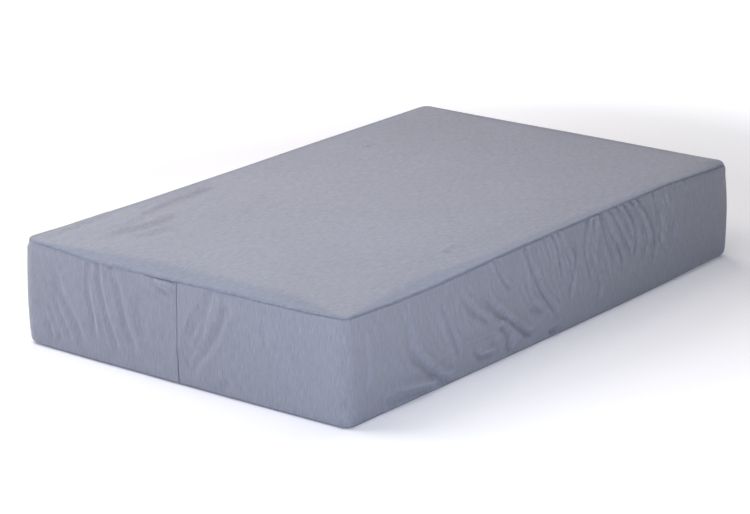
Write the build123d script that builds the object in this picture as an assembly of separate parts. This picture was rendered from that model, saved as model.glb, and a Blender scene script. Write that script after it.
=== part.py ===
"""Memory foam mattress, small double, in a loose knitted cover that zips off along one long side.

Millimetres. X runs across the width, Y along the length with the foot end at -Y, Z is up.
The origin is the middle of the underside, on the surface that the mattress rests on.
"""
from build123d import *
import math
import os

# ---------------------------------------------------------------- driving dimensions
FOAM_W, FOAM_L = 1200.0, 1900.0          # foam core, plan
FOAM_R_PLAN = 45.0                       # vertical corners of the core
FOAM_R_EDGE = 20.0                       # top and bottom edges, pulled round by the cover
FOAM_Z0 = 3.0                            # underside of the core
BASE_LOWER_T = 90.0                      # high-resilience base foam, lower slab
BASE_UPPER_T = 85.0                      # high-resilience base foam, zoned slab
TRANSITION_T = 50.0                      # medium foam that the memory foam rests on
MEMORY_T = 75.0                          # slow-recovery comfort foam

SOCK_GAP, SOCK_T = 0.3, 1.0              # knitted inner sleeve
COVER_SIDE_GAP, COVER_T = 2.0, 1.5       # loose outer cover
COVER_BOTTOM_GAP, COVER_TOP_GAP = 0.2, 1.4
COVER_R_IN = 21.5                        # inner radius of the cover's top and bottom edges

TOP_SEAM_Z = 298.0                       # top panel meets the side band, on the upper edge's curve
BOTTOM_SEAM_Z = 8.0                      # side band meets the underside, on the lower edge's curve
FOOT_JOINT_X = 5.0                       # the band's two ends meet near the middle of the foot end
JOINT_SLIT = 0.4

# zoning cuts in the upper base slab: (first y, last y, spacing)
ZONES = [(520.0, 700.0, 36.0), (-140.0, 120.0, 32.5), (-640.0, -460.0, 36.0)]
CUT_W, CUT_DEPTH, CUT_MARGIN = 4.0, 36.0, 60.0

# zip, along the -X long side
ZIP_Z = 34.0
ZIP_HALF = 840.0                         # half the window's length
WINDOW_HALF = 7.0                        # half the window's height
TAPE_T, TAPE_W, TAPE_GAP, TAPE_END = 0.5, 15.2, 0.8, 12.0
COIL_T, COIL_IN, COIL_OUT, COIL_END = 2.2, 0.65, 3.6, 836.0
SLIDER_Y = 826.0                         # slider's middle with the zip shut
SLIDER_L, SLIDER_HALF = 13.0, 4.9
PULL_L = 27.0

# ---------------------------------------------------------------- derived
FOAM_H = BASE_LOWER_T + BASE_UPPER_T + TRANSITION_T + MEMORY_T
SOCK_IN = SOCK_GAP
SOCK_OUT = SOCK_GAP + SOCK_T
COVER_IN = SOCK_OUT + COVER_SIDE_GAP
COVER_OUT = COVER_IN + COVER_T
Z_SOCK_LO, Z_SOCK_HI = FOAM_Z0 - SOCK_OUT, FOAM_Z0 + FOAM_H + SOCK_OUT
Z_COVER_IN_LO, Z_COVER_IN_HI = Z_SOCK_LO - COVER_BOTTOM_GAP, Z_SOCK_HI + COVER_TOP_GAP
Z_TOP = Z_COVER_IN_HI + COVER_T
assert abs(Z_COVER_IN_LO - COVER_T) < 1e-9
HX, HY = FOAM_W / 2, FOAM_L / 2


def block(offset, z0, z1, r_edge=0.0, top=True, bottom=True):
    """Rounded slab, `offset` outside the foam core's plan."""
    s = extrude(Plane.XY.offset(z0) * RectangleRounded(FOAM_W + 2 * offset, FOAM_L + 2 * offset, FOAM_R_PLAN + offset), z1 - z0)
    if r_edge:
        eds = []
        if top:
            eds += list(s.edges().filter_by_position(Axis.Z, z1 - 1e-3, z1 + 1e-3))
        if bottom:
            eds += list(s.edges().filter_by_position(Axis.Z, z0 - 1e-3, z0 + 1e-3))
        s = fillet(eds, r_edge)
    return s


def cuboid(x0, x1, y0, y1, z0, z1):
    return Pos((x0 + x1) / 2, (y0 + y1) / 2, (z0 + z1) / 2) * Box(x1 - x0, y1 - y0, z1 - z0)


parts = {}

# ---------------------------------------------------------------- foam core, four bonded slabs
z = FOAM_Z0
parts["base_foam_lower"] = block(0, z, z + BASE_LOWER_T, FOAM_R_EDGE, top=False)
z += BASE_LOWER_T
upper = block(0, z, z + BASE_UPPER_T)
z += BASE_UPPER_T
for first, last, step in ZONES:
    n = round((last - first) / step)
    for i in range(n + 1):
        y = first + (last - first) * i / n
        upper -= cuboid(-HX + CUT_MARGIN, HX - CUT_MARGIN, y - CUT_W / 2, y + CUT_W / 2, z - CUT_DEPTH, z + 1)
parts["base_foam_zoned"] = upper
parts["transition_foam"] = block(0, z, z + TRANSITION_T)
z += TRANSITION_T
parts["memory_foam"] = block(0, z, z + MEMORY_T, FOAM_R_EDGE, bottom=False)

# ---------------------------------------------------------------- inner sleeve, sewn shut across the foot end
SLIT_X, SLIT_Z, SLIT_H = 540.0, 150.0, 3.0
sock = block(SOCK_OUT, Z_SOCK_LO, Z_SOCK_HI, FOAM_R_EDGE + SOCK_OUT) - block(SOCK_IN, Z_SOCK_LO + SOCK_T, Z_SOCK_HI - SOCK_T, FOAM_R_EDGE + SOCK_IN)
sock -= cuboid(-SLIT_X, SLIT_X, -HY - 5, -HY + 5, SLIT_Z - SLIT_H / 2, SLIT_Z + SLIT_H / 2)
parts["inner_sleeve"] = sock
parts["inner_sleeve_closing_seam"] = cuboid(-SLIT_X + 0.3, SLIT_X - 0.3, -HY - SOCK_OUT - 0.9, -HY - SOCK_IN - 0.1, SLIT_Z - SLIT_H / 2 + 0.15, SLIT_Z + SLIT_H / 2 - 0.15)

# ---------------------------------------------------------------- outer cover, cut from one shell
skin = block(COVER_OUT, 0, Z_TOP, COVER_R_IN + COVER_T) - block(COVER_IN, Z_COVER_IN_LO, Z_COVER_IN_HI, COVER_R_IN)
BIG = 2000.0
parts["cover_top_panel"] = skin & cuboid(-BIG, BIG, -BIG, BIG, TOP_SEAM_Z, Z_TOP + 5)
parts["cover_underside_panel"] = skin & cuboid(-BIG, BIG, -BIG, BIG, -5, BOTTOM_SEAM_Z)
band = skin & cuboid(-BIG, BIG, -BIG, BIG, BOTTOM_SEAM_Z, TOP_SEAM_Z)
strip = band & cuboid(-HX - 30, -HX + 45, -ZIP_HALF, ZIP_HALF, BOTTOM_SEAM_Z, ZIP_Z - WINDOW_HALF)
band -= cuboid(-HX - 30, -HX + 45, -ZIP_HALF, ZIP_HALF, BOTTOM_SEAM_Z - 1, ZIP_Z + WINDOW_HALF)
band -= cuboid(FOOT_JOINT_X - JOINT_SLIT / 2, FOOT_JOINT_X + JOINT_SLIT / 2, -HY - 20, -HY + 45, 0, TOP_SEAM_Z + 1)
parts["cover_side_band"] = band
parts["cover_zip_strip"] = strip

# bindings sewn over the turned-in edges, inside the cover: they follow the curve of its inner face
def lining(z0, z1, gap, thick):
    """Ring of tape `gap` inside the cover's inner face, between two heights."""
    outer = block(COVER_IN - gap, Z_COVER_IN_LO + gap, Z_COVER_IN_HI - gap, COVER_R_IN - gap)
    inner = block(COVER_IN - gap - thick, Z_COVER_IN_LO + gap + thick, Z_COVER_IN_HI - gap - thick, COVER_R_IN - gap - thick)
    return (outer - inner) & cuboid(-BIG, BIG, -BIG, BIG, z0, z1)


BIND_GAP, BIND_T = 0.3, 0.8
parts["top_seam_binding"] = lining(282.0, 299.5, BIND_GAP, BIND_T)
parts["bottom_seam_binding"] = lining(8.5, 19.5, BIND_GAP, BIND_T - 0.2)
parts["foot_joint_binding"] = cuboid(FOOT_JOINT_X - 10, FOOT_JOINT_X + 10, -HY - COVER_IN + BIND_GAP, -HY - COVER_IN + BIND_GAP + BIND_T, 26.0, 280.0)

# ---------------------------------------------------------------- zip on the -X side (u is the distance out from the YZ plane)
def side(u_a, u_b, y_a, y_b, z_a, z_b):
    return cuboid(-u_b, -u_a, y_a, y_b, z_a, z_b)


TAPE_U1 = HX + COVER_IN - 0.05
TAPE_U0 = TAPE_U1 - TAPE_T
parts["zip_tape_upper"] = side(TAPE_U0, TAPE_U1, -ZIP_HALF - TAPE_END, ZIP_HALF + TAPE_END, ZIP_Z + TAPE_GAP, ZIP_Z + TAPE_GAP + TAPE_W)
parts["zip_tape_lower"] = side(TAPE_U0, TAPE_U1, -ZIP_HALF - TAPE_END, ZIP_HALF + TAPE_END, ZIP_Z - TAPE_GAP - TAPE_W + 4.0, ZIP_Z - TAPE_GAP)
coil_u = side(TAPE_U1, TAPE_U1 + COIL_T, -COIL_END, COIL_END, ZIP_Z + COIL_IN, ZIP_Z + COIL_OUT)
coil_u = fillet(coil_u.edges().filter_by(Axis.Y).filter_by_position(Axis.X, -TAPE_U1 - COIL_T - 0.01, -TAPE_U1 - COIL_T + 0.01), 0.7)
coil_l = side(TAPE_U1, TAPE_U1 + COIL_T, -COIL_END, COIL_END, ZIP_Z - COIL_OUT, ZIP_Z - COIL_IN)
coil_l = fillet(coil_l.edges().filter_by(Axis.Y).filter_by_position(Axis.X, -TAPE_U1 - COIL_T - 0.01, -TAPE_U1 - COIL_T + 0.01), 0.7)
parts["zip_coil_upper"] = coil_u
parts["zip_coil_lower"] = coil_l
stops = [side(TAPE_U1, TAPE_U1 + COIL_T, 837.0, 839.6, ZIP_Z + 0.9, ZIP_Z + 3.9),
         side(TAPE_U1, TAPE_U1 + COIL_T, 837.0, 839.6, ZIP_Z - 3.9, ZIP_Z - 0.9),
         side(TAPE_U1, TAPE_U1 + COIL_T, -839.6, -837.0, ZIP_Z - 3.9, ZIP_Z + 3.9)]
parts["zip_end_stops"] = Compound(children=stops)
COVER_U = HX + COVER_OUT
for name, s in (("zip_end_patch_head", 1), ("zip_end_patch_foot", -1)):
    a, b = sorted((s * (ZIP_HALF + 1.0), s * (ZIP_HALF + 23.0)))
    p = side(COVER_U, COVER_U + 1.2, a, b, ZIP_Z - 11.0, ZIP_Z + 11.0)
    parts[name] = fillet(p.edges().filter_by(Axis.X), 2.5)

# slider: two plates joined by the post that parts the coils; flanges hold the coils in
BACK_U0, BACK_U1 = HX + SOCK_OUT + 0.3, TAPE_U0 - 0.3
FRONT_U0 = TAPE_U1 + COIL_T + 0.3
FRONT_U1 = FRONT_U0 + 1.15
FLANGE_U0 = TAPE_U1 + 0.35
y0, y1 = SLIDER_Y - SLIDER_L / 2, SLIDER_Y + SLIDER_L / 2
front = fillet(side(FRONT_U0, FRONT_U1, y0, y1, ZIP_Z - SLIDER_HALF, ZIP_Z + SLIDER_HALF).edges().filter_by(Axis.X), 2.2)
back = fillet(side(BACK_U0, BACK_U1, y0, y1, ZIP_Z - SLIDER_HALF + 0.3, ZIP_Z + SLIDER_HALF - 0.3).edges().filter_by(Axis.X), 2.2)
post = side(BACK_U1, FRONT_U0, SLIDER_Y + 3.4, SLIDER_Y + 6.2, ZIP_Z - 0.5, ZIP_Z + 0.5)
flange_a = side(FLANGE_U0, FRONT_U0, y0 + 2.3, y1 - 2.3, ZIP_Z + 3.95, ZIP_Z + SLIDER_HALF)
flange_b = side(FLANGE_U0, FRONT_U0, y0 + 2.3, y1 - 2.3, ZIP_Z - SLIDER_HALF, ZIP_Z - 3.95)
BAIL_IN, BAIL_OUT = FRONT_U1 + 2.6, FRONT_U1 + 3.5
bail = side(FRONT_U1, BAIL_OUT, SLIDER_Y - 4.2, SLIDER_Y + 4.2, ZIP_Z - 0.9, ZIP_Z + 0.9)
bail = fillet(bail.edges().filter_by(Axis.Z).filter_by_position(Axis.X, -BAIL_OUT - 0.01, -BAIL_OUT + 0.01), 1.6)
bail -= side(FRONT_U1, BAIL_IN, SLIDER_Y - 3.2, SLIDER_Y + 3.2, ZIP_Z - 2, ZIP_Z + 2)
parts["zip_slider"] = front + back + post + flange_a + flange_b + bail

# pull tab: a bar under the slider's bail, two arms and a flat grip, lying towards the foot end
PIVOT_U = FRONT_U1 + 1.4
PT = 1.3
tab = side(PIVOT_U - PT / 2, PIVOT_U + PT / 2, SLIDER_Y - PULL_L, SLIDER_Y + 1.0, ZIP_Z - 3.5, ZIP_Z + 3.5)
tab = fillet(tab.edges().filter_by(Axis.X).filter_by_position(Axis.Y, SLIDER_Y - PULL_L - 0.01, SLIDER_Y - PULL_L + 0.01), 3.0)
tab -= side(PIVOT_U - 2, PIVOT_U + 2, SLIDER_Y - 7.0, SLIDER_Y + 2.0, ZIP_Z - 1.5, ZIP_Z + 1.5)
tab -= Pos(-PIVOT_U, SLIDER_Y - PULL_L + 7.0, ZIP_Z) * (Rot(0, 90, 0) * extrude(SlotOverall(9.0, 3.0, rotation=90), 4, both=True))
bar = Pos(-PIVOT_U, SLIDER_Y, ZIP_Z) * Cylinder(0.6, 3.2)
parts["zip_pull"] = tab + bar

os.makedirs("parts", exist_ok=True)
for old in os.listdir("parts"):
    if old.endswith(".step"):
        os.remove(os.path.join("parts", old))
for name, shape in parts.items():
    export_step(shape, f"parts/{name}.step")
print("pivot u", PIVOT_U, "z", ZIP_Z, "y", SLIDER_Y, "top", Z_TOP, "half x", HX + COVER_OUT, "half y", HY + COVER_OUT, "nodes", len(parts))
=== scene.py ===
import math

import bpy
import numpy as np
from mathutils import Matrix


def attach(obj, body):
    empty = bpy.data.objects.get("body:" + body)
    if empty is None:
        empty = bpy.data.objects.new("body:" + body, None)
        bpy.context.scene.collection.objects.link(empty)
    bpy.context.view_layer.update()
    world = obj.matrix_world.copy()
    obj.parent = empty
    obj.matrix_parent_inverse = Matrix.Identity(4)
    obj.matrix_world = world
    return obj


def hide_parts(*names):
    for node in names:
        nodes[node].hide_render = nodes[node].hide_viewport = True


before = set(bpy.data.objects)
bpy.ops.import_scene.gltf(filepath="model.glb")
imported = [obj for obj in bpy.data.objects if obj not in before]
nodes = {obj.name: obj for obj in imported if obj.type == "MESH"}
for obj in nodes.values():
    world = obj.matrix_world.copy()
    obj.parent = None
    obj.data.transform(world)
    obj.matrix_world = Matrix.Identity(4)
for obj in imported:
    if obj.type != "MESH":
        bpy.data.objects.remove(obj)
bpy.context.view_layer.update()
scene = bpy.context.scene

# ---------------------------------------------------------------- sizes, in metres, as in the CAD
HX, HY, R = 0.6048, 0.9548, 0.0498      # half width, half length and plan corner radius of the cover
CX, CY = HX - R, HY - R
JOINT_X = 0.005                          # upright joint of the side band, on the foot face
PLATEAU = 0.3175                         # height of the sleeping surface away from the edges
ZIP_Y = 0.840                            # half length of the zip opening, on the -X face
ZIP_LOW, ZIP_HIGH = 0.027, 0.041         # lips of the zip opening
HEM_Z = 0.008                            # bottom seam
MM = 0.001

ARC = math.pi * R / 2
S_NEAR = CX - JOINT_X                    # arc length at which each stretch of the plan starts
S_RIGHT = S_NEAR + ARC
S_FAR = S_RIGHT + 2 * CY
S_HEAD = S_FAR + ARC
S_BACK = S_HEAD + 2 * CX
S_LEFT = S_BACK + ARC
S_FOOTL = S_LEFT + 2 * CY
S_FOOT = S_FOOTL + ARC
S_END = S_FOOT + CX + JOINT_X


def plan(s):
    """Point and outward normal of the cover's plan outline at arc length s, which starts at the foot joint and runs by way of the +X face."""
    s = np.asarray(s, float)
    p = np.zeros(s.shape + (2,))
    n = np.zeros(s.shape + (2,))

    def straight(a, b, start, direction, normal):
        m = (s >= a) & (s <= b)
        p[m] = np.array(start) + (s[m] - a)[:, None] * np.array(direction, float)
        n[m] = normal

    def arc(a, centre, angle):
        m = (s > a) & (s < a + ARC)
        t = angle + (s[m] - a) / R
        d = np.stack([np.cos(t), np.sin(t)], -1)
        p[m] = np.array(centre) + R * d
        n[m] = d

    straight(0.0, S_NEAR, (JOINT_X, -HY), (1, 0), (0, -1))
    arc(S_NEAR, (CX, -CY), -math.pi / 2)
    straight(S_RIGHT, S_FAR, (HX, -CY), (0, 1), (1, 0))
    arc(S_FAR, (CX, CY), 0.0)
    straight(S_HEAD, S_BACK, (CX, HY), (-1, 0), (0, 1))
    arc(S_BACK, (-CX, CY), math.pi / 2)
    straight(S_LEFT, S_FOOTL, (-HX, CY), (0, -1), (-1, 0))
    arc(S_FOOTL, (-CX, -CY), math.pi)
    straight(S_FOOT, S_END + 1e-9, (-CX, -HY), (1, 0), (0, -1))
    return p, n


def s_of(x, y):
    """Arc length of the outline's nearest point, and the distance in from the outline, for points inside it."""
    x, y = np.asarray(x, float), np.asarray(y, float)
    ax, ay = np.abs(x) - CX, np.abs(y) - CY
    corner = (ax > 0) & (ay > 0)
    side = ~corner & ((HX - np.abs(x)) < (HY - np.abs(y)))
    end = ~corner & ~side
    e = np.where(corner, R - np.hypot(ax, ay), np.where(side, HX - np.abs(x), HY - np.abs(y)))
    s = np.zeros(x.shape)
    yc, xc = np.clip(y, -CY, CY), np.clip(x, -CX, CX)
    s = np.where(side & (x > 0), S_RIGHT + yc + CY, s)
    s = np.where(side & (x <= 0), S_LEFT + CY - yc, s)
    s = np.where(end & (y > 0), S_HEAD + CX - xc, s)
    s = np.where(end & (y <= 0) & (x >= JOINT_X), xc - JOINT_X, s)
    s = np.where(end & (y <= 0) & (x < JOINT_X), S_END + xc - JOINT_X, s)
    t = np.arctan2(np.maximum(ay, 1e-12), np.maximum(ax, 1e-12))
    s = np.where(corner & (x > 0) & (y < 0), S_NEAR + R * (math.pi / 2 - t), s)
    s = np.where(corner & (x > 0) & (y > 0), S_FAR + R * t, s)
    s = np.where(corner & (x < 0) & (y > 0), S_BACK + R * (math.pi / 2 - t), s)
    s = np.where(corner & (x < 0) & (y < 0), S_FOOTL + R * t, s)
    return s, e


# ---------------------------------------------------------------- small maths
def step(a, b, x):
    t = np.clip((x - a) / (b - a), 0, 1)
    return t * t * (3 - 2 * t)


def noise(x, y, seed):
    """Smooth value noise from -1 to 1, one lattice cell per unit."""
    g = np.random.default_rng(seed).uniform(-1, 1, (256, 256))
    x, y = np.broadcast_arrays(np.asarray(x, float), np.asarray(y, float))
    xi, yi = np.floor(x).astype(int), np.floor(y).astype(int)
    xf, yf = x - xi, y - yi
    xf, yf = xf**3 * (xf * (6 * xf - 15) + 10), yf**3 * (yf * (6 * yf - 15) + 10)
    a, b = g[xi % 256, yi % 256], g[(xi + 1) % 256, yi % 256]
    c, d = g[xi % 256, (yi + 1) % 256], g[(xi + 1) % 256, (yi + 1) % 256]
    return (a * (1 - xf) + b * xf) * (1 - yf) + (c * (1 - xf) + d * xf) * yf


def along(points, spacing=2.0):
    """Catmull-Rom line through points, as samples with their tangents and share of the length."""
    p = np.array(points, float)
    p = np.vstack([2 * p[0] - p[1], p, 2 * p[-1] - p[-2]])
    out = []
    for i in range(1, len(p) - 2):
        n = max(2, int(np.linalg.norm(p[i + 1] - p[i]) / spacing))
        t = np.linspace(0, 1, n, endpoint=False)[:, None]
        a, b, c, d = p[i - 1], p[i], p[i + 1], p[i + 2]
        out.append(0.5 * (2 * b + (c - a) * t + (2 * a - 5 * b + 4 * c - d) * t**2 + (3 * b - a - 3 * c + d) * t**3))
    q = np.vstack(out + [p[-2:-1]])
    g = np.gradient(q, axis=0)
    g /= np.maximum(np.linalg.norm(g, axis=1), 1e-9)[:, None]
    length = np.r_[0, np.cumsum(np.linalg.norm(np.diff(q, axis=0), axis=1))]
    return q, g, length / length[-1]


def fold_field(u, v, strokes, open_start=None, gain=1.0, widen=1.4, turn=1.0, walls=(1.05, 0.82)):
    """Displacement in mm of the drawn folds at grid points (u, v) in mm. A fold is (depth, half width, points), and a negative depth is a crease.
    A crease has one steep wall and one long one, and pushes up a soft shoulder on both sides. With open_start set, a fold that begins above that
    height runs out of the seam at full depth, and every fold is read from its upper end. turn = -1 puts the steep wall on the other side, and walls are
    the widths of a fold's two walls."""
    total = np.zeros(u.shape)
    for depth, width, points in strokes:
        if open_start is not None and points[-1][1] > points[0][1]:
            points = points[::-1]
        q, g, t = along(points)
        width = widen * width
        reach = 4.0 * width
        lo, hi = q.min(0) - reach, q.max(0) + reach
        m = (u > lo[0]) & (u < hi[0]) & (v > lo[1]) & (v < hi[1])
        if not m.any():
            continue
        du = u[m][:, None] - q[None, :, 0]
        dv = v[m][:, None] - q[None, :, 1]
        k = (du * du + dv * dv).argmin(1)
        i = np.arange(len(k))
        du, dv = du[i, k], dv[i, k]
        x = turn * np.sign(g[k, 0] * dv - g[k, 1] * du) * np.hypot(du, dv) / width
        tk = t[k]
        fade = step(0, 0.12, tk) if open_start is None or points[0][1] < open_start else 1.0
        fade = fade * step(0, 0.20, 1 - tk)
        core = np.exp(-((x / np.where(x < 0, walls[0], walls[1])) ** 2))
        if depth < 0:
            shoulder = 0.34 * np.exp(-(((x + 2.1) / 1.1) ** 2)) + 0.46 * np.exp(-(((x - 1.6) / 0.9) ** 2))
            total[m] += gain * fade * depth * (core - shoulder)
        else:
            total[m] += gain * fade * depth * core
    return total


def make_mesh(name, verts, quads, attributes=None, smooth=True):
    verts = np.asarray(verts, np.float32).reshape(-1, 3)
    quads = np.asarray(quads, np.int32)
    mesh = bpy.data.meshes.new(name)
    mesh.vertices.add(len(verts))
    mesh.vertices.foreach_set("co", verts.ravel())
    per = quads.shape[1]
    mesh.loops.add(quads.size)
    mesh.loops.foreach_set("vertex_index", quads.ravel())
    mesh.polygons.add(len(quads))
    mesh.polygons.foreach_set("loop_start", np.arange(0, quads.size, per, dtype=np.int32))
    mesh.polygons.foreach_set("loop_total", np.full(len(quads), per, np.int32))
    mesh.polygons.foreach_set("use_smooth", np.full(len(quads), smooth, bool))
    for key, value in (attributes or {}).items():
        value = np.asarray(value, np.float32)
        kind = "FLOAT_VECTOR" if value.ndim > 1 and value.shape[-1] == 3 else "FLOAT"
        a = mesh.attributes.new(key, kind, "POINT")
        a.data.foreach_set("vector" if kind == "FLOAT_VECTOR" else "value", value.ravel())
    mesh.update(calc_edges=True)
    mesh.validate()
    obj = bpy.data.objects.new(name, mesh)
    scene.collection.objects.link(obj)
    return obj


def grid_quads(rows, cols, keep=None, flip=False):
    i = np.arange(rows * cols).reshape(rows, cols)
    a, b, c, d = i[:-1, :-1], i[:-1, 1:], i[1:, 1:], i[1:, :-1]
    q = np.stack([a, d, c, b] if flip else [a, b, c, d], -1)
    if keep is not None:
        q = q[keep]
    return q.reshape(-1, 4)


def compact(verts, quads, *values):
    """Drops the points that no face uses."""
    used = np.unique(quads)
    new = np.full(len(verts), -1)
    new[used] = np.arange(len(used))
    return (verts[used], new[quads]) + tuple(v[used] for v in values)


# ---------------------------------------------------------------- drawn folds, in mm: (depth, half width, points)
# points are (x, z) on the foot face, (y, z) on the +X face and (x, y) on top
FOOT = [
    (-2.2, 7, [(-497, 88), (-489, 60), (-477, 32)]),
    (-2.4, 7, [(-493, 159), (-484, 136), (-476, 111), (-467, 85), (-455, 61), (-443, 33)]),
    (-2.4, 7, [(-475, 183), (-457, 151), (-447, 123), (-433, 95), (-421, 68), (-405, 35)]),
    (-3.0, 8, [(-477, 243), (-458, 208), (-436, 173), (-414, 141), (-396, 112), (-378, 82), (-364, 55), (-348, 25)]),
    (-2.8, 6, [(-331, 283), (-336, 234), (-329, 191), (-319, 154), (-314, 111), (-313, 60)]),
    (-3.0, 6, [(-292, 287), (-290, 249), (-283, 215), (-271, 176), (-258, 137), (-241, 96), (-228, 60), (-220, 32)]),
    (-2.0, 5, [(-267, 295), (-262, 269), (-256, 238)]),
    (-2.6, 7, [(-246, 293), (-235, 274), (-221, 248), (-211, 223), (-201, 190), (-192, 150), (-175, 109), (-162, 74), (-156, 42)]),
    (-1.6, 9, [(-146, 230), (-134, 177), (-121, 135), (-113, 102)]),
    (-2.7, 6, [(-104, 304), (-86, 289), (-72, 277), (-54, 267), (-28, 262)]),
    (-2.2, 5, [(-86, 305), (-56, 300), (-19, 299), (3, 294)]),
    (1.8, 6, [(-75, 292), (-50, 278), (-20, 274), (-1, 276)]),
    (-2.2, 6, [(19, 38), (25, 69), (38, 95), (54, 125), (70, 165), (87, 202), (101, 229), (114, 251), (124, 282), (128, 299)]),
    (-2.4, 6, [(25, 45), (45, 82), (65, 113), (82, 143), (98, 171), (109, 206)]),
    (-3.2, 7, [(37, 16), (59, 48), (79, 80), (95, 102), (109, 122), (125, 147), (144, 175), (163, 208), (174, 237), (180, 274)]),
    (-1.5, 6, [(26, 136), (56, 186), (76, 224), (99, 258)]),
    (-1.2, 8, [(433, 187), (443, 157), (466, 132)]),
    (-1.6, 8, [(131, 17), (166, 33), (194, 53)]),
    (-1.4, 7, [(171, 304), (192, 268), (201, 224)]),
    (-1.0, 7, [(316, 259), (325, 213), (327, 165)]),
    (-1.0, 6, [(432, 260), (438, 239)]),
]
SIDE = [
    (-2.6, 8, [(-546, 251), (-541, 237), (-519, 189), (-493, 136), (-474, 97), (-458, 60)]),
    (-3.4, 10, [(-695, 246), (-691, 180), (-673, 142), (-635, 107), (-597, 71), (-559, 43), (-507, 19), (-475, 18)]),
    (-1.2, 6, [(-692, 288), (-693, 238)]),
    (-4.2, 9, [(-348, 224), (-340, 207), (-306, 173), (-266, 140), (-225, 108), (-183, 75), (-142, 52), (-98, 43)]),
    (2.4, 9, [(-287, 133), (-258, 113), (-215, 74), (-176, 48)]),
    (-5.5, 9, [(-273, 117), (-258, 98), (-239, 72), (-236, 47), (-220, 17)]),
    (-2.4, 8, [(-441, 237), (-407, 196), (-374, 166), (-325, 138)]),
    (-1.7, 8, [(-394, 72), (-374, 46), (-334, 41), (-300, 47)]),
    (1.8, 9, [(-363, 89), (-335, 63), (-287, 44)]),
    (-3.4, 9, [(-748, 58), (-712, 37), (-683, 33), (-625, 26), (-566, 20)]),
    (2.8, 9, [(-722, 56), (-687, 59), (-620, 48), (-539, 28)]),
    (-2.0, 9, [(-797, 41), (-753, 32), (-709, 26)]),
    (-2.2, 6, [(-294, 303), (-279, 267), (-246, 224), (-220, 201)]),
    (-2.9, 8, [(-144, 297), (-122, 234), (-93, 179), (-57, 131), (-22, 95), (9, 57)]),
    (-1.8, 9, [(-128, 134), (-73, 101)]),
    (-1.8, 6, [(-54, 313), (-43, 271), (-32, 232), (-30, 189)]),
    (-2.2, 6, [(-15, 310), (7, 258), (14, 219), (18, 168)]),
    (-2.2, 6, [(17, 307), (40, 253), (63, 210), (56, 173)]),
    (-2.8, 6, [(79, 252), (94, 212), (80, 171), (65, 124), (59, 87)]),
    (2.0, 6, [(50, 262), (68, 221), (51, 186)]),
    (-2.4, 8, [(-43, 22), (-13, 25), (17, 28)]),
    (-2.3, 7, [(178, 316), (159, 280), (146, 253), (141, 209), (161, 158), (169, 109)]),
    (-1.0, 6, [(195, 300), (195, 275), (192, 245)]),
    (1.6, 6, [(210, 306), (210, 261), (193, 211), (184, 158)]),
    (-2.4, 6, [(225, 313), (231, 278), (255, 218), (277, 174), (281, 145)]),
    (-2.8, 6, [(238, 316), (260, 271), (289, 225), (317, 179), (331, 144), (326, 93)]),
    (-2.6, 6, [(280, 316), (304, 272), (331, 231), (365, 179), (373, 127)]),
    (-2.4, 6, [(321, 313), (348, 272), (376, 226), (388, 192)]),
    (-2.8, 6, [(353, 314), (388, 263), (406, 219), (407, 179), (384, 134)]),
    (-3.0, 6, [(387, 315), (428, 266), (456, 219), (467, 175), (446, 130), (439, 104)]),
    (-3.0, 6, [(423, 314), (455, 275), (481, 234), (499, 187), (506, 146), (488, 84)]),
    (-2.0, 6, [(508, 312), (519, 260), (526, 214), (530, 169)]),
    (2.4, 7, [(582, 310), (579, 254), (568, 181), (547, 129)]),
    (-1.8, 7, [(543, 263), (543, 200), (530, 146)]),
    (-1.4, 7, [(633, 308), (632, 248), (615, 182), (592, 131)]),
    (-1.0, 6, [(692, 306), (692, 227), (675, 158)]),
    (-1.8, 8, [(200, 138), (214, 90), (201, 54)]),
    (-1.4, 7, [(92, 276), (101, 219), (97, 138)]),
    (-1.0, 8, [(-413, 314), (-422, 267), (-413, 227)]),
    (-1.2, 10, [(-878, 263), (-871, 177), (-877, 88)]),
]
TOP = [
    (4.5, 14, [(-444, -698), (-474, -577), (-493, -480), (-506, -389), (-509, -322), (-517, -209)]),
    (-4.5, 14, [(-447, -614), (-460, -547), (-468, -462), (-469, -414), (-471, -341), (-482, -230)]),
    (4.0, 12, [(-407, -829), (-414, -789), (-416, -728), (-403, -683), (-405, -613), (-410, -555), (-402, -482)]),
    (-4.0, 12, [(-395, -788), (-382, -735), (-376, -697), (-368, -661), (-365, -604), (-365, -530)]),
    (3.0, 12, [(-351, -768), (-332, -730), (-328, -674), (-336, -601)]),
    (-2.4, 12, [(-324, -772), (-308, -738), (-299, -689), (-295, -638)]),
    (2.0, 14, [(-459, -745), (-479, -644), (-497, -539), (-512, -435)]),
    (-2.0, 14, [(-310, -390), (-309, -336), (-317, -287)]),
    (2.0, 14, [(-285, -391), (-289, -337), (-298, -286)]),
    (1.6, 14, [(-309, -301), (-311, -244), (-309, -223)]),
    (-1.6, 14, [(-195, -307), (-210, -229)]),
    (-1.2, 14, [(-91, -225), (-90, -174), (-82, -123)]),
    (1.6, 9, [(464, -355), (455, -306), (453, -271)]),
    (-1.4, 10, [(482, -365), (475, -319), (471, -281)]),
    (-2.0, 12, [(-455, 373), (-461, 420)]),
    (2.0, 12, [(-437, 365), (-442, 412)]),
    (-2.0, 12, [(-423, 389), (-432, 441)]),
    (2.0, 12, [(-402, 382), (-411, 434)]),
    (-2.0, 12, [(-390, 413), (-399, 465)]),
    (1.6, 12, [(-367, 415), (-372, 462)]),
    (-1.6, 12, [(-361, 433), (-366, 481)]),
    (-1.6, 12, [(-483, 463), (-488, 505)]),
    (-1.4, 12, [(-455, 484), (-456, 528)]),
    (2.2, 12, [(-552, -921), (-574, -792), (-582, -656), (-586, -552)]),
    (-2.2, 12, [(-534, -931), (-540, -810), (-542, -683), (-545, -561)]),
]


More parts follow.
